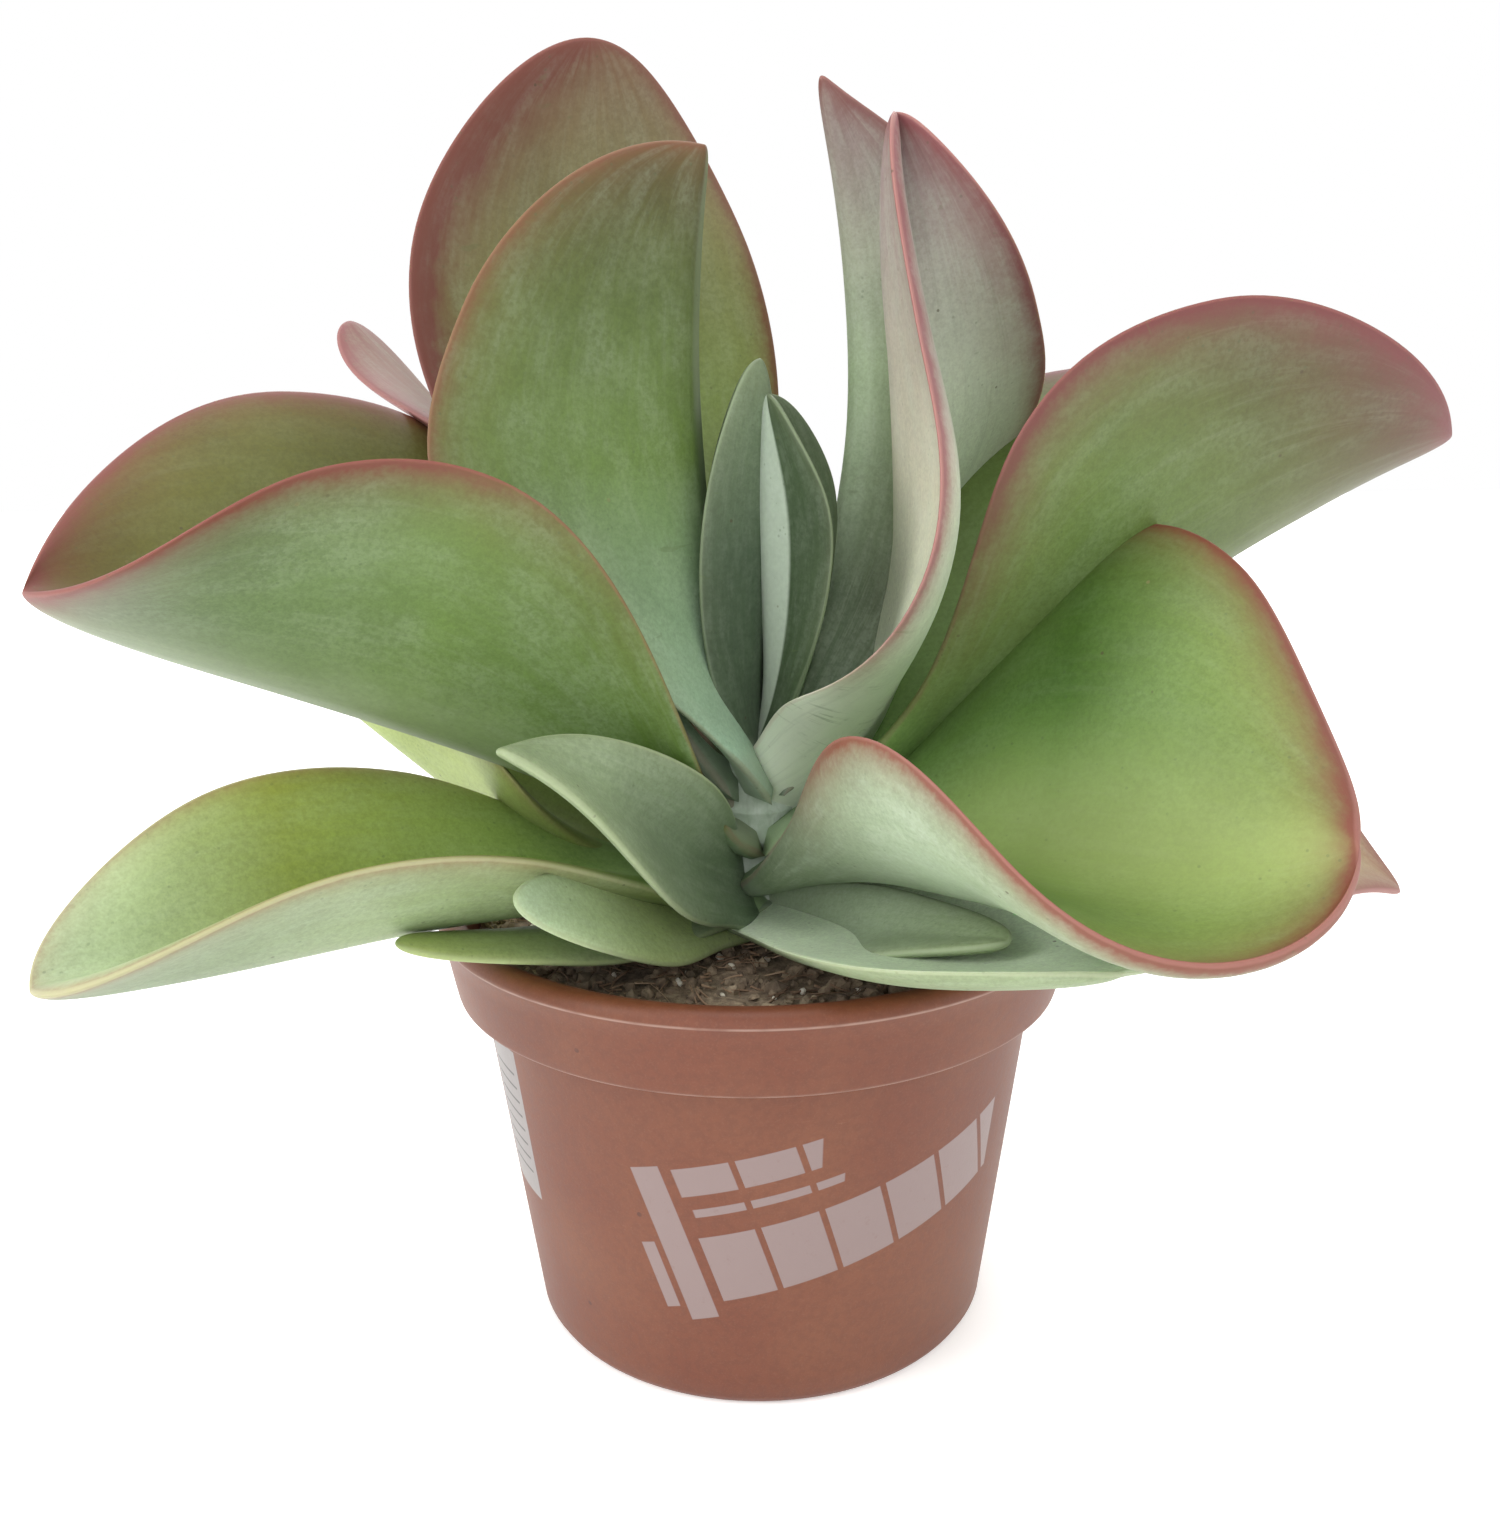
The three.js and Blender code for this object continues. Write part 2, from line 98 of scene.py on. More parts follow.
class Board:  # one material and its nodes
    def __init__(self, name, slotRoughness=0.5):
        self.material = bpy.data.materials.new(name)
        self.material.use_nodes = True
        self.tree = self.material.node_tree
        self.tree.nodes.clear()
        self.shader = self.tree.nodes.new("ShaderNodeBsdfPrincipled")
        self.shader.inputs["Roughness"].default_value = slotRoughness
        output = self.tree.nodes.new("ShaderNodeOutputMaterial")
        self.tree.links.new(self.shader.outputs[0], output.inputs["Surface"])

    def add(self, kind, settings=None, sockets=None):
        node = self.tree.nodes.new(kind)
        for key, value in (settings or {}).items():
            if key == "stops":
                self.setStops(node.color_ramp, value)
            else:
                setattr(node, key, value)
        pairs = sockets.items() if isinstance(sockets, dict) else enumerate(sockets or [])
        for key, value in pairs:
            if isinstance(value, Wire):
                self.tree.links.new(value.socket, node.inputs[key])
            else:
                node.inputs[key].default_value = value
        return [Wire(self, output) for output in node.outputs]

    def setStops(self, ramp, stops):
        while len(ramp.elements) > 1:
            ramp.elements.remove(ramp.elements[-1])
        for i, (place, colour) in enumerate(stops):
            stop = ramp.elements[0] if i == 0 else ramp.elements.new(place)
            stop.position = place
            stop.color = colour

    def objectPoint(self):
        return self.add("ShaderNodeTexCoord")[3]

    def split(self, vector):
        return self.add("ShaderNodeSeparateXYZ", None, [vector])

    def join(self, x, y, z=0.0):
        return self.add("ShaderNodeCombineXYZ", None, [x, y, z])[0]

    def noise(self, vector, scale, detail=3.0, rough=0.5):
        sockets = {"Vector": vector, "Scale": scale, "Detail": detail, "Roughness": rough}
        return self.add("ShaderNodeTexNoise", None, sockets)[0]

    def cells(self, vector, scale):
        return self.add("ShaderNodeTexVoronoi", None, {"Vector": vector, "Scale": scale})[0]

    def attribute(self, name):
        return self.add("ShaderNodeAttribute", {"attribute_name": name})[2]

    def mix(self, share, first, second, blend="MIX"):
        settings = {"data_type": "RGBA", "blend_type": blend}
        return self.add("ShaderNodeMix", settings, {0: share, 6: first, 7: second})[2]

    def colourRamp(self, value, stops):
        return self.add("ShaderNodeValToRGB", {"stops": stops}, [value])[0]

    def feed(self, name, value):
        if isinstance(value, Wire):
            self.tree.links.new(value.socket, self.shader.inputs[name])
        else:
            self.shader.inputs[name].default_value = value

    def bump(self, height, strength, distance):
        sockets = {"Strength": strength, "Distance": distance, "Height": height}
        self.feed("Normal", self.add("ShaderNodeBump", None, sockets)[0])


def paint(code):  # "8fa878" to a linear colour
    def linear(pair):
        value = int(pair, 16) / 255
        return value / 12.92 if value <= 0.04045 else ((value + 0.055) / 1.055) ** 2.4
    return (linear(code[0:2]), linear(code[2:4]), linear(code[4:6]), 1.0)


# piece making

def finishPiece(bm, name, material, replaced=None, smooth=True):
    mesh = bpy.data.meshes.new(name)
    bm.to_mesh(mesh)
    bm.free()
    for polygon in mesh.polygons:
        polygon.use_smooth = smooth
    piece = bpy.data.objects.new(name, mesh)
    bpy.context.scene.collection.objects.link(piece)
    mesh.materials.append(material)
    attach(piece, "root")
    if replaced:
        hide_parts(replaced)
    return piece


def spun(profile, steps):  # profile of (radius, height) in mm, turned about Z
    bm = bmesh.new()
    line = [bm.verts.new((radius * mm, 0, height * mm)) for radius, height in profile]
    for a, b in zip(line, line[1:]):
        bm.edges.new((a, b))
    bmesh.ops.spin(bm, geom=bm.verts[:] + bm.edges[:], cent=(0, 0, 0), axis=(0, 0, 1),
                   angle=2 * pi, steps=steps, use_merge=True)
    bmesh.ops.remove_doubles(bm, verts=bm.verts[:], dist=1e-6)
    bmesh.ops.recalc_face_normals(bm, faces=bm.faces[:])
    return bm


# pot

pot = {
    "height": 89, "footRadius": 47.5, "wallTopRadius": 57, "bandBottom": 72,
    "bandBottomRadius": 61.8, "rimRadius": 65, "lipRadius": 59.6, "wall": 1.6, "floor": 2,
    "drainRadius": 4, "drainCircle": 32, "drains": 6, "steps": 160,
    "plastic": "67341e", "plasticLight": "704028", "plasticDark": "4a2212",
    "lipShade": "74402d", "speck": "4a261c", "scuff": "86604a", "ink": "84726f",
    "moulding": "a58a7d", "dust": "4f3b2a", "label": "8a8482", "labelRules": "403c3a",
    "roughness": 0.48,
}


def potPlastic():
    board = Board("pot plastic")
    point = board.objectPoint()
    x, y, z = board.split(point)
    broad = board.noise(point, 28, 3)
    fine = board.noise(point, 650, 3, 0.6)
    grain = board.noise(point, 2400, 2, 0.6)
    colour = board.mix(broad.ramp(0.3, 0.7), paint(pot["plastic"]), paint(pot["plasticLight"]))
    colour = board.mix(fine.ramp(0.62, 0.35) * 0.22, colour, paint(pot["plasticDark"]))
    colour = board.mix(grain.ramp(0.5, 0.75) * 0.16, colour, paint(pot["scuff"]))
    radius = (x * x + y * y) ** 0.5

    # the inside of the lip gets a painted shade tone, and soil dust clings to it
    inner = radius.ramp(0.0622, 0.0604) * z.ramp(0.074, 0.078)
    colour = board.mix(inner * 0.75, colour, paint(pot["lipShade"]))
    dust = board.noise(point, 260, 4, 0.65).ramp(0.52, 0.66) * inner * z.ramp(0.0885, 0.083)
    colour = board.mix(dust * 0.8, colour, paint(pot["dust"]))

    # long faint scuffs that run round the band and the wall
    angle = board.add("ShaderNodeMath", {"operation": "ARCTAN2"}, [x, 0 - y])[0]
    around = board.join(angle * 3.0, z * 900.0)
    scuffs = board.noise(around, 3.0, 4, 0.7).ramp(0.63, 0.74) * broad.ramp(0.42, 0.6)
    colour = board.mix(scuffs * 0.28, colour, paint(pot["scuff"]))

    # moulding lines: the outer corner of the rim and the foot of the band
    rimLine = (abs(z - 0.0862)).ramp(0.00042, 0.0001) * (radius > 0.0635)
    footLine = (abs(z - 0.0722)).ramp(0.0005, 0.00012) * (radius > 0.0612)
    worn = board.noise(point, 180, 2).ramp(0.3, 0.6)
    colour = board.mix((rimLine * 0.55 + footLine * 0.45) * (0.45 + 0.55 * worn), colour,
                       paint(pot["moulding"]))

    # dark specks in the plastic
    specks = board.cells(point, 130).ramp(0.085, 0.05) * board.noise(point, 95, 1).ramp(0.6, 0.66)
    colour = board.mix(specks * 0.8, colour, paint(pot["speck"]))

    # the print on the wall, and the ruled sticker at the left
    ink = printedBars(board, angle, z)
    inkWear = board.noise(point, 420, 4, 0.7).ramp(0.72, 0.6)
    colour = board.mix(ink * (0.82 + 0.16 * inkWear), colour, paint(pot["ink"]))
    label, rules = stickerMasks(board, angle, z)
    colour = board.mix(label, colour, paint(pot["label"]))
    colour = board.mix(rules * label * 0.9, colour, paint(pot["labelRules"]))

    board.feed("Base Color", colour)
    board.feed("Roughness", pot["roughness"] + 0.12 * (fine - 0.5) - 0.08 * ink)
    board.bump(fine * 0.4 + grain * 0.35 + scuffs * 0.3 - ink * 0.15, 0.25, 0.00025)
    board.feed("Specular IOR Level", 0.45)
    return board.material


# the print: a row of plain blocks that rises to the right, two short bars over it and a tall one.
# Heights are in metres and places round the pot in radians; a row holds its height, its width,
# how far it starts past the left end, and where it stops.
bars = {"slope": 0.27, "lean": 0.36, "left": -0.47, "blocks": 4.2, "split": 0.9,
        "rows": [(0.0545, 0.0062, 0.24, 0.20), (0.0475, 0.0018, 0.26, 0.28),
                 (0.0345, 0.0150, 0.0, 0.98)],
        "tallPlace": 0.14, "tallHalf": 0.056, "tallGap": 0.084, "tallFoot": 0.0235, "tallTop": 0.0587}

sticker = {"left": -1.27, "right": -0.995, "foot": 0.0335, "top": 0.0665, "rulesLeft": -1.22,
           "rulesRight": -1.03, "rulesFoot": 0.0375, "rulesTop": 0.062, "rulesPerMetre": 320.0}


def printedBars(board, angle, z):
    rising = z - angle * 0.052 * bars["slope"]  # height above the rising base line
    along = angle + (z - 0.04) * bars["lean"] * 16
    mask = None
    for middle, width, inset, right in bars["rows"]:
        band = (abs(rising - middle)).ramp(width / 2 + 0.0001, width / 2 - 0.0001)
        start = along.ramp(bars["left"] + inset - 0.003, bars["left"] + inset + 0.003)
        stop = angle.ramp(right + 0.003, right - 0.003)
        band = band * start * stop
        mask = band if mask is None else mask + band
    place = (along - bars["left"]) * bars["blocks"]
    mask = mask * place.maths("FRACT", place).ramp(bars["split"] + 0.01, bars["split"] - 0.01)
    beside = abs(along - (bars["left"] + bars["tallPlace"]))
    half, around, foot, top = bars["tallHalf"], bars["tallGap"], bars["tallFoot"], bars["tallTop"]
    mask = mask * beside.ramp(around - 0.002, around + 0.002)
    tall = beside.ramp(half + 0.002, half - 0.002)
    tall = tall * rising.ramp(foot, foot + 0.0002) * rising.ramp(top, top - 0.0002)
    return (mask + tall).clamped()


def stickerMasks(board, angle, z):
    left, right, foot, top = (sticker[key] for key in ("left", "right", "foot", "top"))
    inside = angle.ramp(left, left + 0.002) * angle.ramp(right + 0.002, right)
    inside = inside * z.ramp(foot, foot + 0.0002) * z.ramp(top + 0.0002, top)
    place = z * sticker["rulesPerMetre"]
    lines = abs(place.maths("FRACT", place) - 0.5).ramp(0.1, 0.06)
    left, right, foot, top = (sticker["rules" + key] for key in ("Left", "Right", "Foot", "Top"))
    lines = lines * angle.ramp(left, left + 0.002) * angle.ramp(right + 0.002, right)
    return inside, lines * z.ramp(foot, foot + 0.0001) * z.ramp(top, top - 0.0001)


def makePot():
    rim, lip, band = pot["rimRadius"], pot["lipRadius"], pot["bandBottom"]
    top, foot, wallTop = pot["height"], pot["footRadius"], pot["wallTopRadius"]
    wall, floor = pot["wall"], pot["floor"]

    def wallAt(z):
        return foot + (wallTop - foot) * z / band

    outer = [(0, 0), (foot - 6, 0), (foot - 2, 0), (foot - 0.6, 0.6), (wallAt(2), 2), (wallAt(6), 6)]
    outer += [(wallAt(z), z) for z in (20, 34, 48, 60, 68, 71)]
    outer += [(wallAt(71.7), 71.7), (wallTop + 0.5, 72), (pot["bandBottomRadius"] - 0.5, 72)]
    outer += [(pot["bandBottomRadius"], 72.35), (pot["bandBottomRadius"] + 0.2, 73)]
    outer += [(62.6, 76), (63.7, 82), (64.45, 85.6), (64.85, 86.1), (rim, 86.4), (rim - 0.1, 86.9)]
    outer += [(rim - 0.45, 87.8), (rim - 1.1, 88.6), (rim - 2.1, top), (lip + 1.9, top)]
    outer += [(lip + 0.9, 88.7), (lip + 0.2, 87.9), (lip, 86.8), (lip - 0.1, 84), (lip - 0.5, 77)]
    outer += [(wallAt(73) - 2.2, 73), (wallAt(70) - wall, 70), (wallAt(40) - wall, 40)]
    outer += [(wallAt(6) - wall, 6), (wallAt(3) - 2 * wall, floor + 0.2), (foot - 8, floor), (0, floor)]
    bm = spun(outer, pot["steps"])
    piece = finishPiece(bm, "pot_shell", potPlastic(), "pot")
    drills = bmesh.new()
    for i in range(pot["drains"]):
        angle = 2 * pi * (i + 0.5) / pot["drains"]
        place = Vector((cos(angle), sin(angle), 0)) * pot["drainCircle"] * mm
        bmesh.ops.create_cone(drills, cap_ends=True, segments=32, radius1=pot["drainRadius"] * mm,
                              radius2=pot["drainRadius"] * mm, depth=0.02,
                              matrix=Matrix.Translation(place))
    mesh = bpy.data.meshes.new("drills")
    drills.to_mesh(mesh)
    drills.free()
    drillObject = bpy.data.objects.new("drills", mesh)
    bpy.context.scene.collection.objects.link(drillObject)
    cut = piece.modifiers.new("drains", "BOOLEAN")
    cut.operation = "DIFFERENCE"
    cut.solver = "EXACT"
    cut.object = drillObject
    applyModifiers(piece)
    bpy.data.objects.remove(drillObject)
    for polygon in piece.data.polygons:
        polygon.use_smooth = True
    piece.data.set_sharp_from_angle(angle=radians(38))
    return piece


def applyModifiers(piece):
    graph = bpy.context.evaluated_depsgraph_get()
    mesh = bpy.data.meshes.new_from_object(piece.evaluated_get(graph))
    piece.modifiers.clear()
    piece.data = mesh


makePot()
print("pot made")


# soil: bed, crumbs, white grit and fibres

soil = {
    "level": 80, "radius": 58.6, "relief": 1.1, "seed": 11,
    "crumbs": 1500, "grit": 100, "fibres": 900, "clearRadius": 11,
    "dark": "584a3e", "brown": "84725f", "light": "a8967e", "green": "6a6454",
    "gritColour": "e2ddd0", "gritStain": "a2947c",
    "fibreDark": "705946", "fibreBrown": "9a7e66", "fibreLight": "c6b094",
}


def soilHeight(x, y):  # in mm
    rough = noise.fractal(Vector((x / 9, y / 9, 4.0)), 0.8, 2.2, 4)
    return soil["level"] + 0.4 + soil["relief"] * 0.9 * rough


def soilMaterial(name, stops, scale):
    board = Board(name)
    point = board.objectPoint()
    patches = board.noise(point, scale, 5, 0.65)
    colour = board.colourRamp(patches, stops)
    tint = board.noise(point, 90, 2)
    colour = board.mix(tint.ramp(0.45, 0.7) * 0.35, colour, paint(soil["green"]))
    board.feed("Base Color", colour)
    board.feed("Roughness", 0.85 + 0.12 * patches)
    board.bump(board.noise(point, scale * 3, 4, 0.7), 0.6, 0.0006)
    return board.material


def makeSoilBed():
    level, radius = soil["level"], soil["radius"]
    profile = [(0, 2.4), (44.6, 2.4), (46, 4), (54.6, 71), (56.6, 74.5), (58.0, 77.5), (radius, 79)]
    profile += [(radius - 0.4, level - 0.2)]
    profile += [(r, level) for r in (57, 55, 52.5, 50, 47.5, 45, 42.5, 40, 37, 34, 31, 28, 25)]
    profile += [(r, level) for r in (22, 19, 16, 13, 10, 7, 4, 2, 0)]
    bm = spun(profile, 168)
    for vert in bm.verts:
        if vert.co.z > (level - 0.1) * mm:
            x, y = vert.co.x / mm, vert.co.y / mm
            vert.co.z = soilHeight(x, y) * mm
    stops = [(0.3, paint(soil["dark"])), (0.5, paint(soil["brown"])), (0.66, paint(soil["light"]))]
    finishPiece(bm, "soil_bed", soilMaterial("soil bed", stops, 420), "soil")


def scattered(random, reach):  # an even place on the bed
    while True:
        x, y = random.uniform(-reach, reach), random.uniform(-reach, reach)
        if soil["clearRadius"] < hypot(x, y) < reach:
            return x, y


def lumpy(bm, made, place, size, random):  # an icosphere turned into a small crumb
    turn = Matrix.Rotation(random.uniform(0, 6.28), 3, Vector((random.random(), random.random(), 1)))
    stretch = Vector((random.uniform(0.6, 1.4), random.uniform(0.6, 1.2), random.uniform(0.45, 0.9)))
    for vert in made["verts"]:
        bump = 1 + random.uniform(-0.22, 0.22)
        vert.co = place + turn @ (vert.co * stretch * size * bump)


def makeCrumbs():
    random = Random(soil["seed"])
    bm = bmesh.new()
    for _ in range(soil["crumbs"]):
        x, y = scattered(random, 57.2)
        size = random.uniform(0.5, 1.5) * mm if random.random() < 0.85 else random.uniform(1.5, 2.3) * mm
        place = Vector((x * mm, y * mm, soilHeight(x, y) * mm + size * 0.25))
        lumpy(bm, bmesh.ops.create_icosphere(bm, subdivisions=1, radius=1.0), place, size, random)
    stops = [(0.32, paint(soil["dark"])), (0.5, paint(soil["brown"])), (0.64, paint(soil["light"]))]
    finishPiece(bm, "soil_crumbs", soilMaterial("soil crumbs", stops, 160), smooth=False)


def makeGrit():
    random = Random(soil["seed"] + 1)
    bm = bmesh.new()
    for _ in range(soil["grit"]):
        x, y = scattered(random, 57)
        size = random.uniform(0.4, 1.15) * mm
        place = Vector((x * mm, y * mm, soilHeight(x, y) * mm + size * 0.6))
        lumpy(bm, bmesh.ops.create_icosphere(bm, subdivisions=2, radius=1.0), place, size, random)
    board = Board("white grit")
    point = board.objectPoint()
    stain = board.noise(point, 500, 4, 0.7)
    board.feed("Base Color", board.mix(stain.ramp(0.4, 0.7) * 0.6, paint(soil["gritColour"]),
                                       paint(soil["gritStain"])))
    board.feed("Roughness", 0.8 + 0.1 * stain)
    board.bump(board.noise(point, 1800, 3), 0.5, 0.0003)
    finishPiece(bm, "soil_grit", board.material, smooth=True)


def makeFibres():
    random = Random(soil["seed"] + 2)
    straw = bmesh.new()
    bmesh.ops.create_cone(straw, cap_ends=True, segments=5, radius1=1, radius2=0.6, depth=2)
    uprights = [e for e in straw.edges if abs(e.verts[0].co.z - e.verts[1].co.z) > 1]
    bmesh.ops.subdivide_edges(straw, edges=uprights, cuts=3)
    strawMesh = bpy.data.meshes.new("straw")
    straw.to_mesh(strawMesh)
    straw.free()
    bm = bmesh.new()
    for _ in range(soil["fibres"]):
        x, y = scattered(random, 54)
        long = random.uniform(0.9, 3.6) * mm
        wide = random.uniform(0.09, 0.28) * mm
        bend = random.uniform(-0.3, 0.3) * long
        tilt = Matrix.Rotation(radians(90 + random.uniform(-26, 26)), 3, "X")
        turn = Matrix.Rotation(random.uniform(0, 2 * pi), 3, "Z")
        place = Vector((x * mm, y * mm, soilHeight(x, y) * mm + random.uniform(0.3, 1.3) * mm))
        before = len(bm.verts)
        bm.from_mesh(strawMesh)
        bm.verts.ensure_lookup_table()
        for vert in bm.verts[before:]:
            bent = Vector((vert.co.x * wide + bend * vert.co.z ** 2, vert.co.y * wide,
                           vert.co.z * long))
            vert.co = place + turn @ (tilt @ bent)
    bpy.data.meshes.remove(strawMesh)
    board = Board("soil fibres")
    point = board.objectPoint()
    shade = board.noise(point, 60, 3)
    colour = board.colourRamp(shade, [(0.35, paint(soil["fibreDark"])), (0.5, paint(soil["fibreBrown"])),
                                      (0.65, paint(soil["fibreLight"]))])
    board.feed("Base Color", colour)
    board.feed("Roughness", 0.8)
    board.bump(board.noise(point, 2500, 2), 0.4, 0.0002)
    finishPiece(bm, "soil_fibres", board.material)


makeSoilBed()
makeCrumbs()
makeGrit()
makeFibres()
print("soil made")


# stem

stem = {"rootZ": 70, "topZ": 118, "radius": 8.8, "topRadius": 7.4, "soilZ": 80, "ringEvery": 6,
        "skin": "a5b5a2", "skinLow": "a4ae9c", "bloom": "c6d0c6", "streak": "808c78"}


def stemMaterial():
    board = Board("stem skin")
    point = board.objectPoint()
    x, y, z = board.split(point)
    colour = board.mix(z.ramp(0.082, 0.095), paint(stem["skinLow"]), paint(stem["skin"]))
    dusting = board.noise(point, 160, 4, 0.6)
    colour = board.mix(dusting.ramp(0.4, 0.62) * 0.6, colour, paint(stem["bloom"]))
    streak = board.noise(board.join(x * 1.0, y * 1.0, z * 0.12), 900, 3)
    colour = board.mix(streak.ramp(0.5, 0.7) * 0.25, colour, paint(stem["streak"]))
    board.feed("Base Color", colour)
    board.feed("Roughness", 0.55 + 0.2 * dusting)
    board.bump(dusting * 0.5 + streak, 0.4, 0.0004)
    return board.material


def makeStem():
    profile = [(0, stem["rootZ"]), (stem["radius"], stem["rootZ"])]
    z = stem["soilZ"] + 3
    while z < stem["topZ"] - 5:
        share = (z - stem["soilZ"]) / (stem["topZ"] - stem["soilZ"])
        radius = stem["radius"] + (stem["topRadius"] - stem["radius"]) * share
        profile += [(radius - 0.1, z - 1.6), (radius + 0.45, z - 0.4), (radius + 0.5, z)]
        profile += [(radius + 0.1, z + 0.5), (radius - 0.15, z + 2.2)]
        z += stem["ringEvery"]
    profile += [(stem["topRadius"], stem["topZ"] - 3), (stem["topRadius"] * 0.75, stem["topZ"] - 1)]
    profile += [(stem["topRadius"] * 0.35, stem["topZ"] - 0.2), (0, stem["topZ"])]
    bm = spun(profile, 72)
    for vert in bm.verts:
        if vert.co.z > 0.071 and hypot(vert.co.x, vert.co.y) > 0.001:
            rough = noise.noise(vert.co * 140) * 0.35 * mm
            outward = Vector((vert.co.x, vert.co.y, 0)).normalized()
            vert.co += outward * rough
    finishPiece(bm, "stem_skin", stemMaterial(), "stem")


makeStem()
print("stem made")


# leaves

# the skin tones that the leaves choose from, the colours of what lies on the skin, and a pale green that
# is painted light for the hollow of the upper face
skinTones = {
    "paintedShadeGreen": "384830", "shadeGreen": "485844", "dullGreen": "566850", "greyGreen": "6c7c60",
    "sage": "849470", "paleSage": "94a488", "dustyGreen": "a8bc98", "mint": "94b098",
    "milkyGreen": "d0e0c4", "creamGreen": "b4c688", "deepGreen": "486828", "leafGreen": "5c7438",
    "freshGreen": "80a45c", "lime": "889840", "moss": "788c48", "meadow": "94a460",
    "olive": "585c20", "bronzeGreen": "404420", "khaki": "807858", "rosyBrown": "6c5038",
    "rosyGrey": "a09898", "sand": "b4a480", "stone": "c8c4ac",
}
skinMarks = {"bloom": "b8c2b0", "belly": "a4ae94", "paintedLightValley": "b0be74", "paleLine": "ccd3bd",
             "darkLine": "4c5f3c", "scratch": "5c6b42", "arc": "5f7a4a", "pin": "4c4230",
             "pit": "46553a", "cork": "8c7a58"}

# the margin of a leaf that gets hardly any sun
quietMargin = {"flushReach": 3, "flushOn": [0.1, 0.1], "tipFrom": 0.9, "tipShare": 0.1,
               "rimOn": [0.1, 0.1], "rimFrom": 0.3}
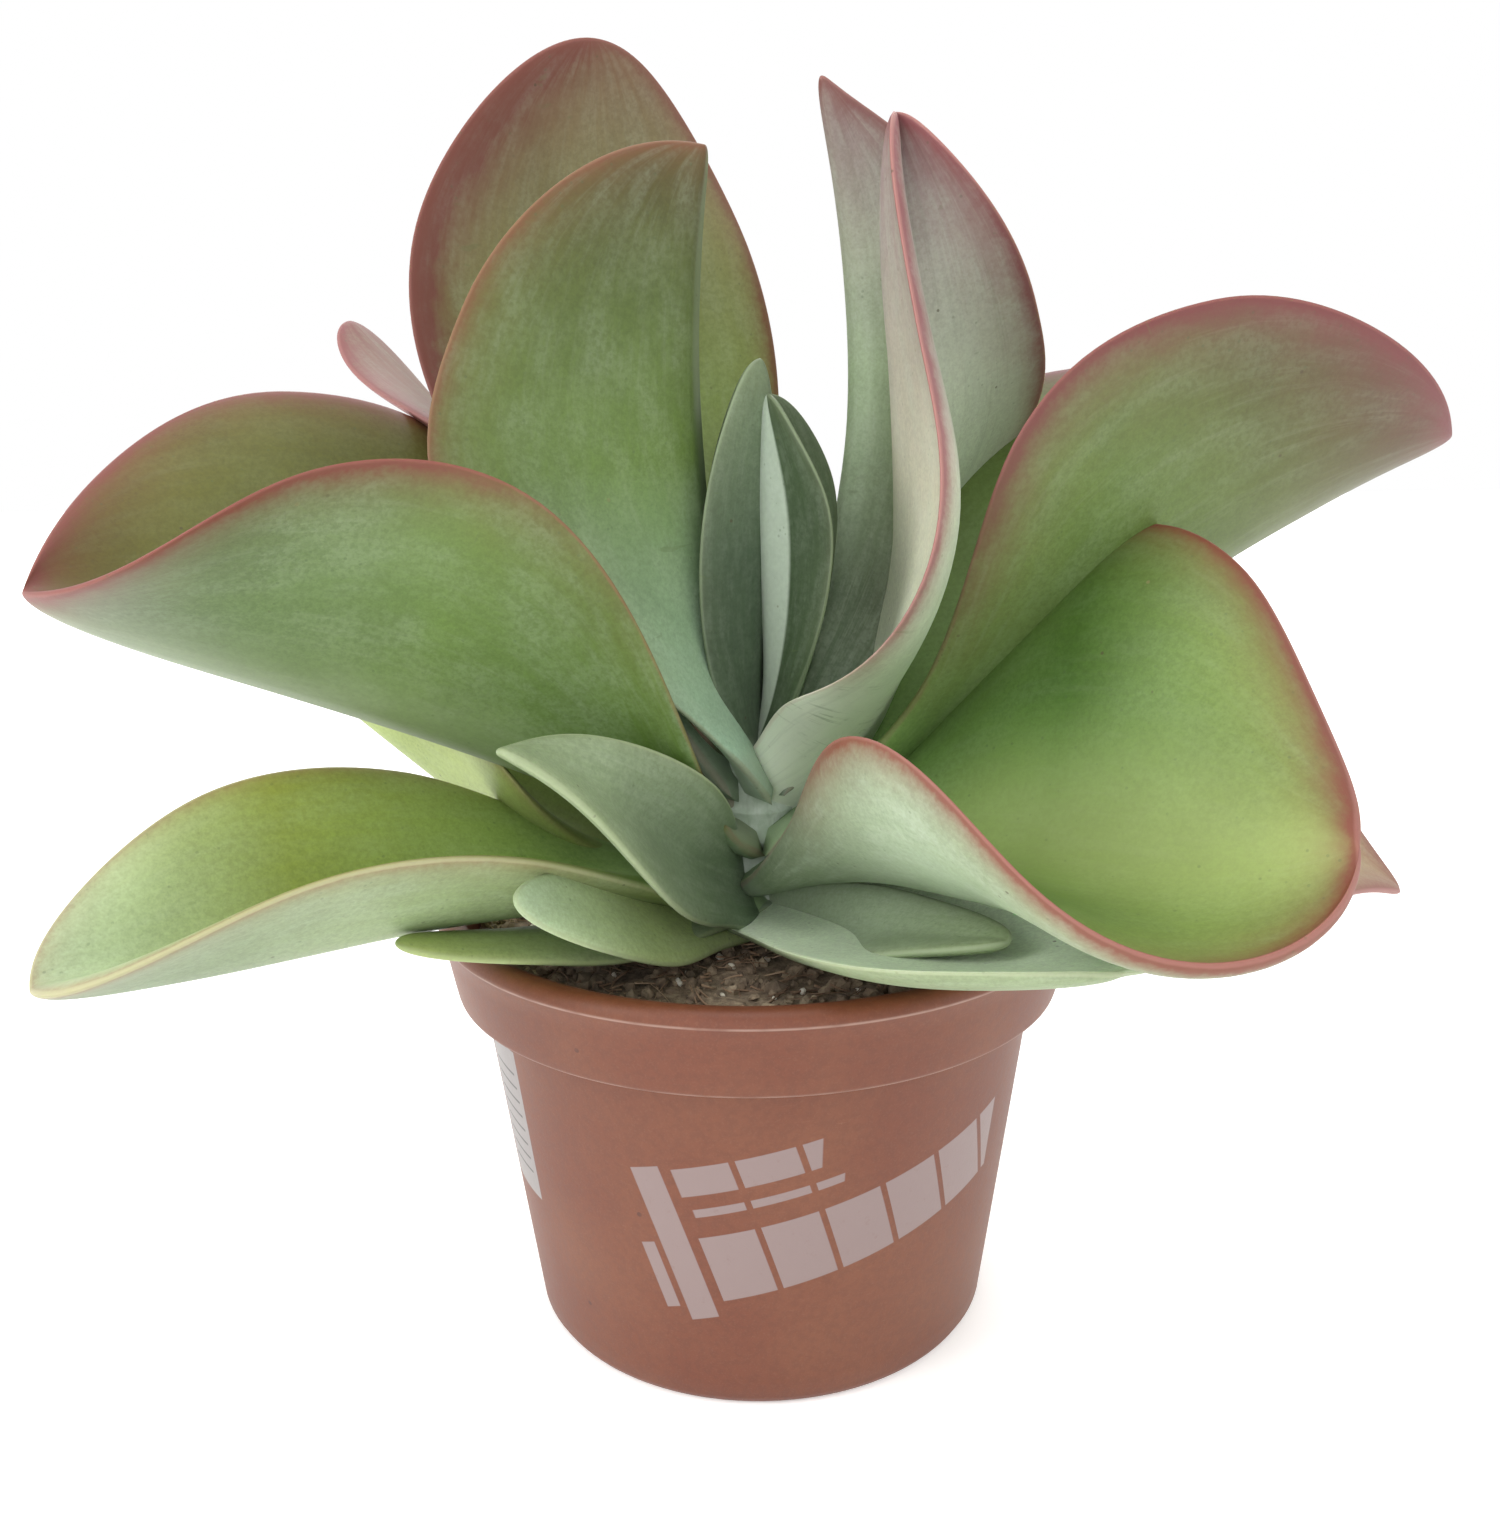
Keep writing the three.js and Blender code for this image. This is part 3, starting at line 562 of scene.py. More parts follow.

# A leaf starts on the stem's axis at height base and heads off at an angle round it (0 is +X, 90 is
# +Y), swinging by swing degrees. rise is the slope of its midrib, width the full width at five even
# stations, thick, twist and the folds are at the foot, middle and tip, curl bends the outer parts.
# Most of these values are the rounded results of a least-squares fit of each leaf's outline.
# upper and lower are the skin tones of its two faces at foot, middle and tip, at the shares of its
# length in stops. flush is the sun colour that comes in from the margin (flushReach, mm) and from
# the tip (tipFrom, tipShare), flushSide makes it stronger on the left; rim is the red margin (rimReach,
# mm, from rimFrom on) and edge the thin pale line round it, partly the margin's own colour and partly
# a painted highlight. Pairs give the share on the two faces.
# Some leaves also have a keel, a pale band along the fold (colour, share, where it starts and ends
# across), a foot of their own (colour, share, where it ends), scratched arcs over the foot (share,
# start, end), a paler band along the middle of the lower face (belly), or painted light down the
# hollow along the middle of the upper face, lifting the shade the fold casts there.
leaves = {
    "leaf_front_right_wide": {
        "base": 94, "heading": -39, "swing": -5, "length": 124, "rise": [15, 29, -23, 30],
        "width": [19, 59, 125, 123, 79], "thick": [7, 5.5, 3.4], "twist": [29, 49, 64],
        "foldLeft": [-40, 17, -24], "foldRight": [-4, 76, 11], "curl": [-35, 65], "crease": 0.45,
        "upper": ["freshGreen", "deepGreen", "moss"],
        "lower": ["greyGreen", "paleSage", "sage"],
        "flush": "6f5038", "flushReach": 6, "flushOn": [0.75, 0.3], "tipFrom": 0.85, "tipShare": 0.2,
        "rim": "783e32", "rimReach": 2.2, "rimOn": [0.9, 0.9], "rimFrom": 0.22, "edge": "9c6a62",
        "edgeWidth": 0.4, "bloom": [0.12, 0.8], "streak": [0.03, 0.12],
        # painted light: a paler wash down the hollow of the upper face, lifting the shade the fold casts
        # there
        "paintedLightValley": 0.36,
    },
    "leaf_front_left_short": {
        "base": 87, "heading": 246, "swing": -16, "length": 95, "rise": [24, 30, 46, 25],
        "width": [18, 23, 30, 24, 16.5], "thick": [5, 4.5, 2.8], "twist": [-46, -76, -6],
        "foldLeft": [6, 26, -8], "foldRight": [-7, 49, -15], "curl": [-2, 0], "crease": 0.45,
        "upper": ["dullGreen", "greyGreen", "sage"],
        "lower": ["dullGreen", "greyGreen", "sage"],
        **quietMargin, "flush": "7c7c50", "rim": "8a8a5c", "rimReach": 0.6, "edge": "9aa682",
        "edgeWidth": 0.35, "bloom": [0.35, 0.35], "streak": [0.05, 0.1],
    },
    "leaf_right_small_upper": {
        "base": 87, "heading": -62, "swing": 15, "length": 77.5, "rise": [2, 5, 20, 14],
        "width": [12, 15, 20, 19, 16], "thick": [4, 4, 2.6], "twist": [88, 40, 19],
        "foldLeft": [13, 11, 1], "foldRight": [-2, 20, 21], "curl": [4, 5], "crease": 0.45,
        # both faces are lifted to a pale sage: painted light over the shade the leaf falls in
        "upper": ["paleSage", "paleSage", "sage"],
        "lower": ["paleSage", "paleSage", "sage"],
        **quietMargin, "flush": "7c7c50", "rim": "8a8a5c", "rimReach": 0.6, "edge": "a2ae90",
        "edgeWidth": 0.35, "bloom": [0.45, 0.45], "streak": [0.05, 0.1],
    },
    "leaf_left_small_upper": {
        "base": 83, "heading": 237, "swing": -1, "length": 78, "rise": [0, 27, 28, 21],
        "width": [12, 13, 21, 18, 14], "thick": [4, 4, 2.6], "twist": [-20, -40, -60],
        "foldLeft": [4, 4, 4], "foldRight": [4, 4, 4], "curl": [0, 0], "crease": 0.45,
        # both faces take a light cream green, lifted as painted light over the shade of the short front
        # leaf above
        "upper": ["creamGreen", "creamGreen", "dustyGreen"],
        "lower": ["creamGreen", "creamGreen", "dustyGreen"],
        **quietMargin, "flush": "7c7c50", "rim": "8a8a5c", "rimReach": 0.6, "edge": "9aa680",
        "edgeWidth": 0.35, "bloom": [0.4, 0.4], "streak": [0.05, 0.08],
    },
    "leaf_right_upright": {
        "base": 104, "heading": 16, "swing": -24, "length": 149, "rise": [12, 109, 102, 85],
        "width": [35, 101, 118, 67, 49], "thick": [6.5, 4.6, 2.8], "twist": [5, -9, -62],
        "foldLeft": [-4, -24, -80], "foldRight": [64, -7, -72], "curl": [-9, 37], "crease": 0.12,
        # the pale tones at the foot and middle are partly the leaf's own whitish base and partly painted
        # light lifting the shade round the stem
        "upper": ["milkyGreen", "stone", "rosyGrey"],
        "lower": ["dustyGreen", "milkyGreen", "rosyGrey"],
        "flush": "8a6460", "flushReach": 8, "flushOn": [0.7, 0.65], "tipFrom": 0.45, "tipShare": 0.38,
        "rim": "80464a", "rimReach": 2.2, "rimOn": [0.85, 0.8], "rimFrom": 0.2, "edge": "a87870",
        "edgeWidth": 0.4, "bloom": [0.8, 0.8], "streak": [0.1, 0.2],
        # the near-white foot is partly the leaf's own pale base and partly painted light lifting the
        # shade round the stem
        "foot": ("dde5d3", 0.85, 0.34), "scratched": (0.4, 0.12, 0.26),
    },
    "leaf_inner_right": {
        "base": 114, "heading": -20, "swing": -3, "length": 75, "rise": [60, 115, 87, 87],
        "width": [12, 24, 37, 43, 35], "thick": [5, 3.8, 2.4], "twist": [0, 0, -2],
        "foldLeft": [1, -26, -20], "foldRight": [-8, -62, -48], "curl": [0, 2], "crease": 0.25,
        # the upper face is painted shade: a deep dark green for a face that lies in the shaded hollow
        "upper": ["paintedShadeGreen", "paintedShadeGreen", "paintedShadeGreen"],
        "lower": ["dullGreen", "dullGreen", "dullGreen"],
        **quietMargin, "flush": "6c6c4c", "rim": "808060", "rimReach": 0.5, "edge": "7c8a6c",
        "edgeWidth": 0.3, "bloom": [0.2, 0.3], "streak": [0.02, 0.03],
        # the keel band is a painted highlight: the lit narrow half of the fold, painted as a pale strip
        "keel": ("bccab8", 0.8, -0.02, 0.5),
    },
    "leaf_inner_left": {
        "base": 114, "heading": 181, "swing": -1, "length": 81, "rise": [83, 102, 102, 79],
        "width": [22, 32, 35, 33, 27], "thick": [5, 3.8, 2.4], "twist": [-1, -3, -1],
        "foldLeft": [-1, -44, -42], "foldRight": [0, -49, -48], "curl": [0, 2], "crease": 0.25,
        "upper": ["shadeGreen", "shadeGreen", "greyGreen"],
        "lower": ["shadeGreen", "shadeGreen", "greyGreen"],
        **quietMargin, "flush": "6c6c4c", "rim": "808060", "rimReach": 0.5, "edge": "7c8a6c",
        "edgeWidth": 0.3, "bloom": [0.2, 0.25], "streak": [0.02, 0.03],
    },
    "leaf_left_wide": {
        "base": 100, "heading": 195, "swing": 12, "length": 143, "rise": [20, 42, 5, 29],
        "width": [20, 83, 131, 140, 150], "thick": [7, 5.5, 3.4], "twist": [9, -32, -3],
        "foldLeft": [-22, 92, 12], "foldRight": [-5, 25, 46], "curl": [0, -25], "crease": 0.45,
        "upper": ["olive", "olive", "olive"],
        "lower": ["deepGreen", "leafGreen", "greyGreen"],
        "flush": "6c3c2a", "flushReach": 7, "flushOn": [0.6, 0.35], "tipFrom": 0.75, "tipShare": 0.2,
        "rim": "723a33", "rimReach": 2.6, "rimOn": [0.9, 0.9], "rimFrom": 0.42, "edge": "8a5048",
        "edgeWidth": 0.4, "bloom": [0.1, 0.3], "streak": [0.02, 0.05],
        "belly": 0.6,
    },
    "leaf_right_wide": {
        "base": 99, "heading": 9, "swing": -20, "length": 160, "rise": [26, 43, 27, 23],
        "width": [33, 47, 137, 146, 124], "thick": [7, 5.5, 3.4], "twist": [13, 24, -6],
        "foldLeft": [46, 23, 35], "foldRight": [21, 82, 34], "curl": [-10, 5], "crease": 0.45,
        "upper": ["freshGreen", "leafGreen", "bronzeGreen"],
        "lower": ["freshGreen", "leafGreen", "bronzeGreen"],
        "flush": "6e4440", "flushReach": 9, "flushOn": [0.7, 0.7], "tipFrom": 0.5, "tipShare": 0.4,
        "rim": "6e3a3a", "rimReach": 2.6, "rimOn": [0.9, 0.85], "rimFrom": 0.3, "edge": "8a5450",
        "edgeWidth": 0.4, "bloom": [0.12, 0.2], "streak": [0.03, 0.06],
        "belly": 0.15,
    },
    "leaf_left_upright": {
        "base": 109, "heading": 183, "swing": 0, "length": 125, "rise": [74, 81, 91, 100],
        "width": [26, 62, 111, 98, 75], "thick": [6.5, 4.6, 2.8], "twist": [3, 6, 6],
        "foldLeft": [10, -60, -80], "foldRight": [8, -62, -82], "curl": [0, 0], "crease": 0.12,
        "upper": ["mint", "leafGreen", "bronzeGreen"],
        "lower": ["mint", "leafGreen", "bronzeGreen"],
        "flush": "6e5034", "flushReach": 6, "flushOn": [0.5, 0.4], "tipFrom": 0.75, "tipShare": 0.2,
        "rim": "70402e", "rimReach": 1.2, "rimOn": [0.6, 0.6], "rimFrom": 0.3, "edge": "846048",
        "edgeWidth": 0.35, "bloom": [0.3, 0.35], "streak": [0.04, 0.1],
        "keel": ("8c9c78", 0.6, -0.03, 0.03),
    },
    "leaf_left_low": {
        "base": 88, "heading": 214, "swing": -8, "length": 138, "rise": [16, 7, -9, 3],
        "width": [22, 36, 60, 69, 57], "thick": [7, 5.5, 3.4], "twist": [7, -4, -2],
        "foldLeft": [-37, 49, 19], "foldRight": [-19, 56, 40], "curl": [-14, -15], "crease": 0.45,
        "upper": ["freshGreen", "lime", "dustyGreen"],
        "lower": ["moss", "sage", "greyGreen"],
        "flush": "94704c", "flushReach": 4, "flushOn": [0.3, 0.3], "tipFrom": 0.85, "tipShare": 0.2,
        "rim": "8c5c48", "rimReach": 1.0, "rimOn": [0.4, 0.3], "rimFrom": 0.3, "edge": "b4b48c",
        "edgeWidth": 0.4, "bloom": [0.2, 0.35], "streak": [0.03, 0.08],
        "stops": (0.12, 0.68, 1.0),
    },
    "leaf_right_small_lower": {
        "base": 85, "heading": -55, "swing": 1, "length": 99, "rise": [10, 8, -1, 22],
        "width": [24, 38, 54, 60, 49], "thick": [4.5, 4.2, 2.6], "twist": [12, 8, 1],
        "foldLeft": [20, 19, -15], "foldRight": [0, 9, 10], "curl": [-2, 31], "crease": 0.45,
        # the upper face is lifted near white: painted light over the shade under the wide leaf in front
        "upper": ["milkyGreen", "milkyGreen", "milkyGreen"],
        # the lower face is darkened: painted shade against the light from the glowing floor
        "lower": ["greyGreen", "sage", "sage"],
        **quietMargin, "flush": "8a8a64", "rim": "8c8c68", "rimReach": 0.6, "edge": "a8b090",
        "edgeWidth": 0.35, "bloom": [0.4, 0.45], "streak": [0.05, 0.1],
    },
    "leaf_left_small_lower": {
        "base": 85, "heading": 222, "swing": -1, "length": 84, "rise": [8, 1, 12, 16],
        "width": [20, 23, 26, 17, 14], "thick": [4.5, 4.2, 2.6], "twist": [0, 1, -6],
        "foldLeft": [20, -10, -4], "foldRight": [19, -10, 9], "curl": [-2, -4], "crease": 0.45,
        "upper": ["greyGreen", "sage", "meadow"],
        "lower": ["greyGreen", "sage", "meadow"],
        **quietMargin, "flush": "8a8450", "rim": "8c8c60", "rimReach": 0.6, "edge": "98a474",
        "edgeWidth": 0.35, "bloom": [0.2, 0.25], "streak": [0.04, 0.06],
    },
    "leaf_inner_small": {
        "base": 117, "heading": 150, "swing": 0, "length": 34, "rise": [80, 88, 92, 92],
        "width": [10, 15, 17, 14, 8], "thick": [4, 3, 2], "twist": [0, 0, 0],
        "foldLeft": [10, 15, 15], "foldRight": [10, 15, 15], "curl": [0, 0], "crease": 0.45,
        "upper": ["shadeGreen", "dullGreen", "greyGreen"],
        "lower": ["shadeGreen", "dullGreen", "greyGreen"],
        **quietMargin, "flush": "6c6c4c", "rim": "808060", "rimReach": 0.5, "edge": "7c8a6c",
        "edgeWidth": 0.3, "bloom": [0.3, 0.3], "streak": [0.05, 0.05],
    },
    "leaf_back_left_tall": {
        "base": 106, "heading": 130, "swing": -12, "length": 170, "rise": [47, 54, 73, 117],
        "width": [27, 44, 79, 87, 65], "thick": [7, 5.5, 3.4], "twist": [5, -5, 4],
        "foldLeft": [36, 15, 4], "foldRight": [32, 20, -1], "curl": [-1, -1], "crease": 0.45,
        "upper": ["dullGreen", "moss", "khaki"],
        "lower": ["dullGreen", "moss", "khaki"],
        "flush": "6e4438", "flushReach": 9, "flushOn": [0.75, 0.65], "tipFrom": 0.6, "tipShare": 0.35,
        "rim": "6e3c32", "rimReach": 2.4, "rimOn": [0.8, 0.75], "rimFrom": 0.25, "edge": "82504a",
        "edgeWidth": 0.4, "bloom": [0.3, 0.35], "streak": [0.04, 0.06],
        "flushSide": 0.9,
    },
    "leaf_back_right_upright": {
        "base": 109, "heading": 45, "swing": 22, "length": 150, "rise": [53, 57, 95, 132],
        "width": [22, 30, 51, 69, 10], "thick": [6.5, 4.6, 2.8], "twist": [-15, 5, -5],
        "foldLeft": [-15, -59, -60], "foldRight": [0, -62, -52], "curl": [9, 3], "crease": 0.12,
        "upper": ["dullGreen", "dustyGreen", "rosyGrey"],
        "lower": ["dullGreen", "milkyGreen", "rosyGrey"],
        "flush": "7c5c54", "flushReach": 8, "flushOn": [0.6, 0.6], "tipFrom": 0.5, "tipShare": 0.5,
        "rim": "744440", "rimReach": 2.0, "rimOn": [0.8, 0.8], "rimFrom": 0.25, "edge": "946860",
        "edgeWidth": 0.4, "bloom": [0.6, 0.7], "streak": [0.12, 0.2],
        "stops": (0.3, 0.62, 0.95),
    },
    "leaf_left_under": {
        "base": 91, "heading": 169, "swing": 5, "length": 107, "rise": [2, 9, 53, 31],
        "width": [19, 32, 71, 40, 44], "thick": [7, 5.5, 3.4], "twist": [-20, -8, 4],
        "foldLeft": [12, 48, 46], "foldRight": [40, 40, 30], "curl": [0, 0], "crease": 0.45,
        "upper": ["moss", "meadow", "meadow"],
        "lower": ["moss", "meadow", "meadow"],
        "flush": "6e5834", "flushReach": 5, "flushOn": [0.2, 0.2], "tipFrom": 0.8, "tipShare": 0.15,
        "rim": "70503c", "rimReach": 1.2, "rimOn": [0.3, 0.3], "rimFrom": 0.3, "edge": "8a8458",
        "edgeWidth": 0.35, "bloom": [0.2, 0.25], "streak": [0.04, 0.06],
    },
    "leaf_back_left_narrow": {
        "base": 99, "heading": 146, "swing": 2, "length": 152, "rise": [61, 51, 21, 45],
        "width": [16, 28, 44, 46, 32], "thick": [7, 5.5, 3.4], "twist": [-6, 35, 6],
        "foldLeft": [45, 5, -16], "foldRight": [46, -1, -3], "curl": [-10, 0], "crease": 0.45,
        "upper": ["bronzeGreen", "rosyBrown", "rosyBrown"],
        "lower": ["bronzeGreen", "rosyBrown", "rosyBrown"],
        "flush": "84504e", "flushReach": 8, "flushOn": [0.6, 0.6], "tipFrom": 0.5, "tipShare": 0.4,
        "rim": "80484a", "rimReach": 2.0, "rimOn": [0.6, 0.6], "rimFrom": 0.3, "edge": "9c706c",
        "edgeWidth": 0.4, "bloom": [0.6, 0.6], "streak": [0.08, 0.1],
    },
    "leaf_right_under": {
        "base": 90, "heading": 8, "swing": -10, "length": 147, "rise": [29, 5, -19, -29],
        "width": [19, 33, 51, 69, 18], "thick": [7, 5.5, 3.4], "twist": [-4, 19, 12],
        "foldLeft": [39, 34, 30], "foldRight": [42, 18, 9], "curl": [4, -6], "crease": 0.45,
        "upper": ["moss", "meadow", "sand"],
        "lower": ["moss", "meadow", "sand"],
        "flush": "84584e", "flushReach": 7, "flushOn": [0.6, 0.6], "tipFrom": 0.5, "tipShare": 0.4,
        "rim": "7c4844", "rimReach": 1.8, "rimOn": [0.6, 0.6], "rimFrom": 0.3, "edge": "9c706c",
        "edgeWidth": 0.4, "bloom": [0.35, 0.4], "streak": [0.05, 0.08],
    },
    "leaf_back_wide": {
        "base": 97, "heading": 78, "swing": -6, "length": 122, "rise": [30, 22, 10, 6],
        "width": [26, 48, 82, 92, 70], "thick": [7, 5.5, 3.4], "twist": [0, 4, 6],
        "foldLeft": [30, 30, 18], "foldRight": [30, 26, 14], "curl": [0, 0], "crease": 0.45,
        "upper": ["leafGreen", "moss", "khaki"],
        "lower": ["leafGreen", "moss", "khaki"],
        "flush": "6e4440", "flushReach": 9, "flushOn": [0.7, 0.7], "tipFrom": 0.5, "tipShare": 0.35,
        "rim": "6e3a3a", "rimReach": 2.4, "rimOn": [0.8, 0.8], "rimFrom": 0.3, "edge": "8a5450",
        "edgeWidth": 0.4, "bloom": [0.15, 0.3], "streak": [0.03, 0.06],
    },
    "leaf_back_small": {
        "base": 89, "heading": 112, "swing": 6, "length": 84, "rise": [14, 8, 4, 12],
        "width": [22, 34, 48, 50, 36], "thick": [4.5, 4.2, 2.6], "twist": [0, 0, 0],
        "foldLeft": [25, 20, 10], "foldRight": [25, 20, 10], "curl": [0, 0], "crease": 0.45,
        "upper": ["leafGreen", "moss", "meadow"],
        "lower": ["leafGreen", "moss", "meadow"],
        "flush": "6e5834", "flushReach": 5, "flushOn": [0.2, 0.2], "tipFrom": 0.8, "tipShare": 0.2,
        "rim": "70503c", "rimReach": 1.2, "rimOn": [0.3, 0.3], "rimFrom": 0.3, "edge": "8a8458",
        "edgeWidth": 0.35, "bloom": [0.2, 0.25], "streak": [0.04, 0.06],
    },
}

blade = {"columns": 44, "rows": 76, "midribSteps": 40, "sideSteps": 24, "wobble": 0.35,
         "wobbleSize": 26, "edgeRoundness": 10, "foot": ("8c9a86", 0.6, 0.12),
         "stops": (0.12, 0.55, 0.95)}


def through(values, s):  # a smooth value through those at the foot, middle and tip
    foot, middle, tip = values
    return foot * (1 - s) * (1 - 2 * s) + 4 * middle * s * (1 - s) + tip * s * (2 * s - 1)


def halfWidth(leaf, s):
    w = leaf["width"]
    padded = [2 * w[0] - w[1]] + w + [2 * w[4] - w[3]]
    place = min(max(s, 0), 1) * 4
    i = min(int(place), 3)
    u = place - i
    a, b, c, d = padded[i:i + 4]
    curve = 0.5 * (2 * b + (c - a) * u + (2 * a - 5 * b + 4 * c - d) * u ** 2
                   + (3 * b - a - 3 * c + d) * u ** 3)
    return curve / 2 * sqrt(max(1 - s ** 6, 0))


def direction(leaf, s):  # slope above level and angle round the axis
    a, b, c, d = leaf["rise"]
    slope = a * (1 - s) ** 3 + 3 * b * s * (1 - s) ** 2 + 3 * c * s * s * (1 - s) + d * s ** 3
    return radians(slope), radians(leaf["heading"] + leaf["swing"] * s * s)


def midribPoint(leaf, s):
    point = Vector((0, 0, leaf["base"]))
    steps = blade["midribSteps"]
    for i in range(steps):
        share = min(max(s * steps - i, 0), 1)
        if share == 0:
            break
        up, around = direction(leaf, (i + 0.5) / steps)
        point += Vector((cos(up) * cos(around), cos(up) * sin(around), sin(up))) \
            * (share * leaf["length"] / steps)
    return point


def crossSection(leaf, s, t):  # how far out and up a point of the half blade lies, and its slope
    fold = radians(through(leaf["foldRight"] if t > 0 else leaf["foldLeft"], s))
    curl = radians(leaf["curl"][1 if t > 0 else 0])
    across = raised = angle = 0.0
    steps = blade["sideSteps"]
    for i in range(steps):
        reach = min(max(abs(t) * steps - i, 0), 1)
        if reach == 0:
            break
        part = (i + 0.5) / steps
        angle = fold * (1 - (1 - min(part / leaf["crease"], 1)) ** 2) + curl * part ** 3
        across += reach * cos(angle) / steps
        raised += reach * sin(angle) / steps
    return across, raised, angle


def placeBlade(leaf, bm, seed):
    margin = bm.verts.layers.float.new("toMargin")
    uv = bm.loops.layers.uv.new("blade")
    outline = KDTree(2 * 400 + 1)
    for i in range(401):
        s = sin(pi / 2 * i / 400)
        reach = halfWidth(leaf, s)
        outline.insert((reach, s * leaf["length"], 0), i)
        if i < 400:
            outline.insert((-reach, s * leaf["length"], 0), 401 + i)
    outline.balance()

    for face in bm.faces:
        for loop in face.loops:
            under = loop.vert.co.z < 0
            u, v = (loop.vert.co.x + 1) / 2, (loop.vert.co.y + 1) / 2
            loop[uv].uv = (sin(pi / 2 * (2 * u - 1)) / 2 + 0.5 + (2 if under else 0), sin(pi / 2 * v))

    rowFrames = {}
    sections = {}
    for vert in bm.verts:
        gx, gy = round(vert.co.x, 5), round((vert.co.y + 1) / 2, 5)
        side = -1 if vert.co.z < 0 else 1
        s, t = sin(pi / 2 * gy), sin(pi / 2 * gx)
        if gy not in rowFrames:
            rowFrames[gy] = (midribPoint(leaf, s), direction(leaf, s), halfWidth(leaf, s))
        middle, (up, around), width = rowFrames[gy]
        if (gx, gy) not in sections:
            sections[(gx, gy)] = crossSection(leaf, s, t)
        across, raised, angle = sections[(gx, gy)]
        flatNormal = Vector((-sin(up) * cos(around), -sin(up) * sin(around), cos(up)))
        flatSide = Vector((sin(around), -cos(around), 0))
        turn = radians(through(leaf["twist"], s))
        normal = flatNormal * cos(turn) + flatSide * sin(turn)
        sideways = flatSide * cos(turn) - flatNormal * sin(turn)
        hand = 1 if t >= 0 else -1
        point = middle + sideways * (hand * across * width) + normal * (raised * width)
        outward = normal * cos(angle) - sideways * (hand * sin(angle))
        wave = noise.noise(point / blade["wobbleSize"] + Vector((seed, 0, 0))) * blade["wobble"]
        ease = min(s / 0.15, 1) * (1 - 0.4 * abs(t))
        half = through(leaf["thick"], s) / 2 * (1 - 0.5 * t * t)
        half *= sqrt(max(1 - abs(t) ** blade["edgeRoundness"], 0)) * sqrt(max(1 - s ** 40, 0))
        half *= min(s / 0.01, 1)
        vert[margin] = outline.find((t * width, s * leaf["length"], 0))[2]
        vert.co = (point + outward * (side * half + wave * ease)) * mm


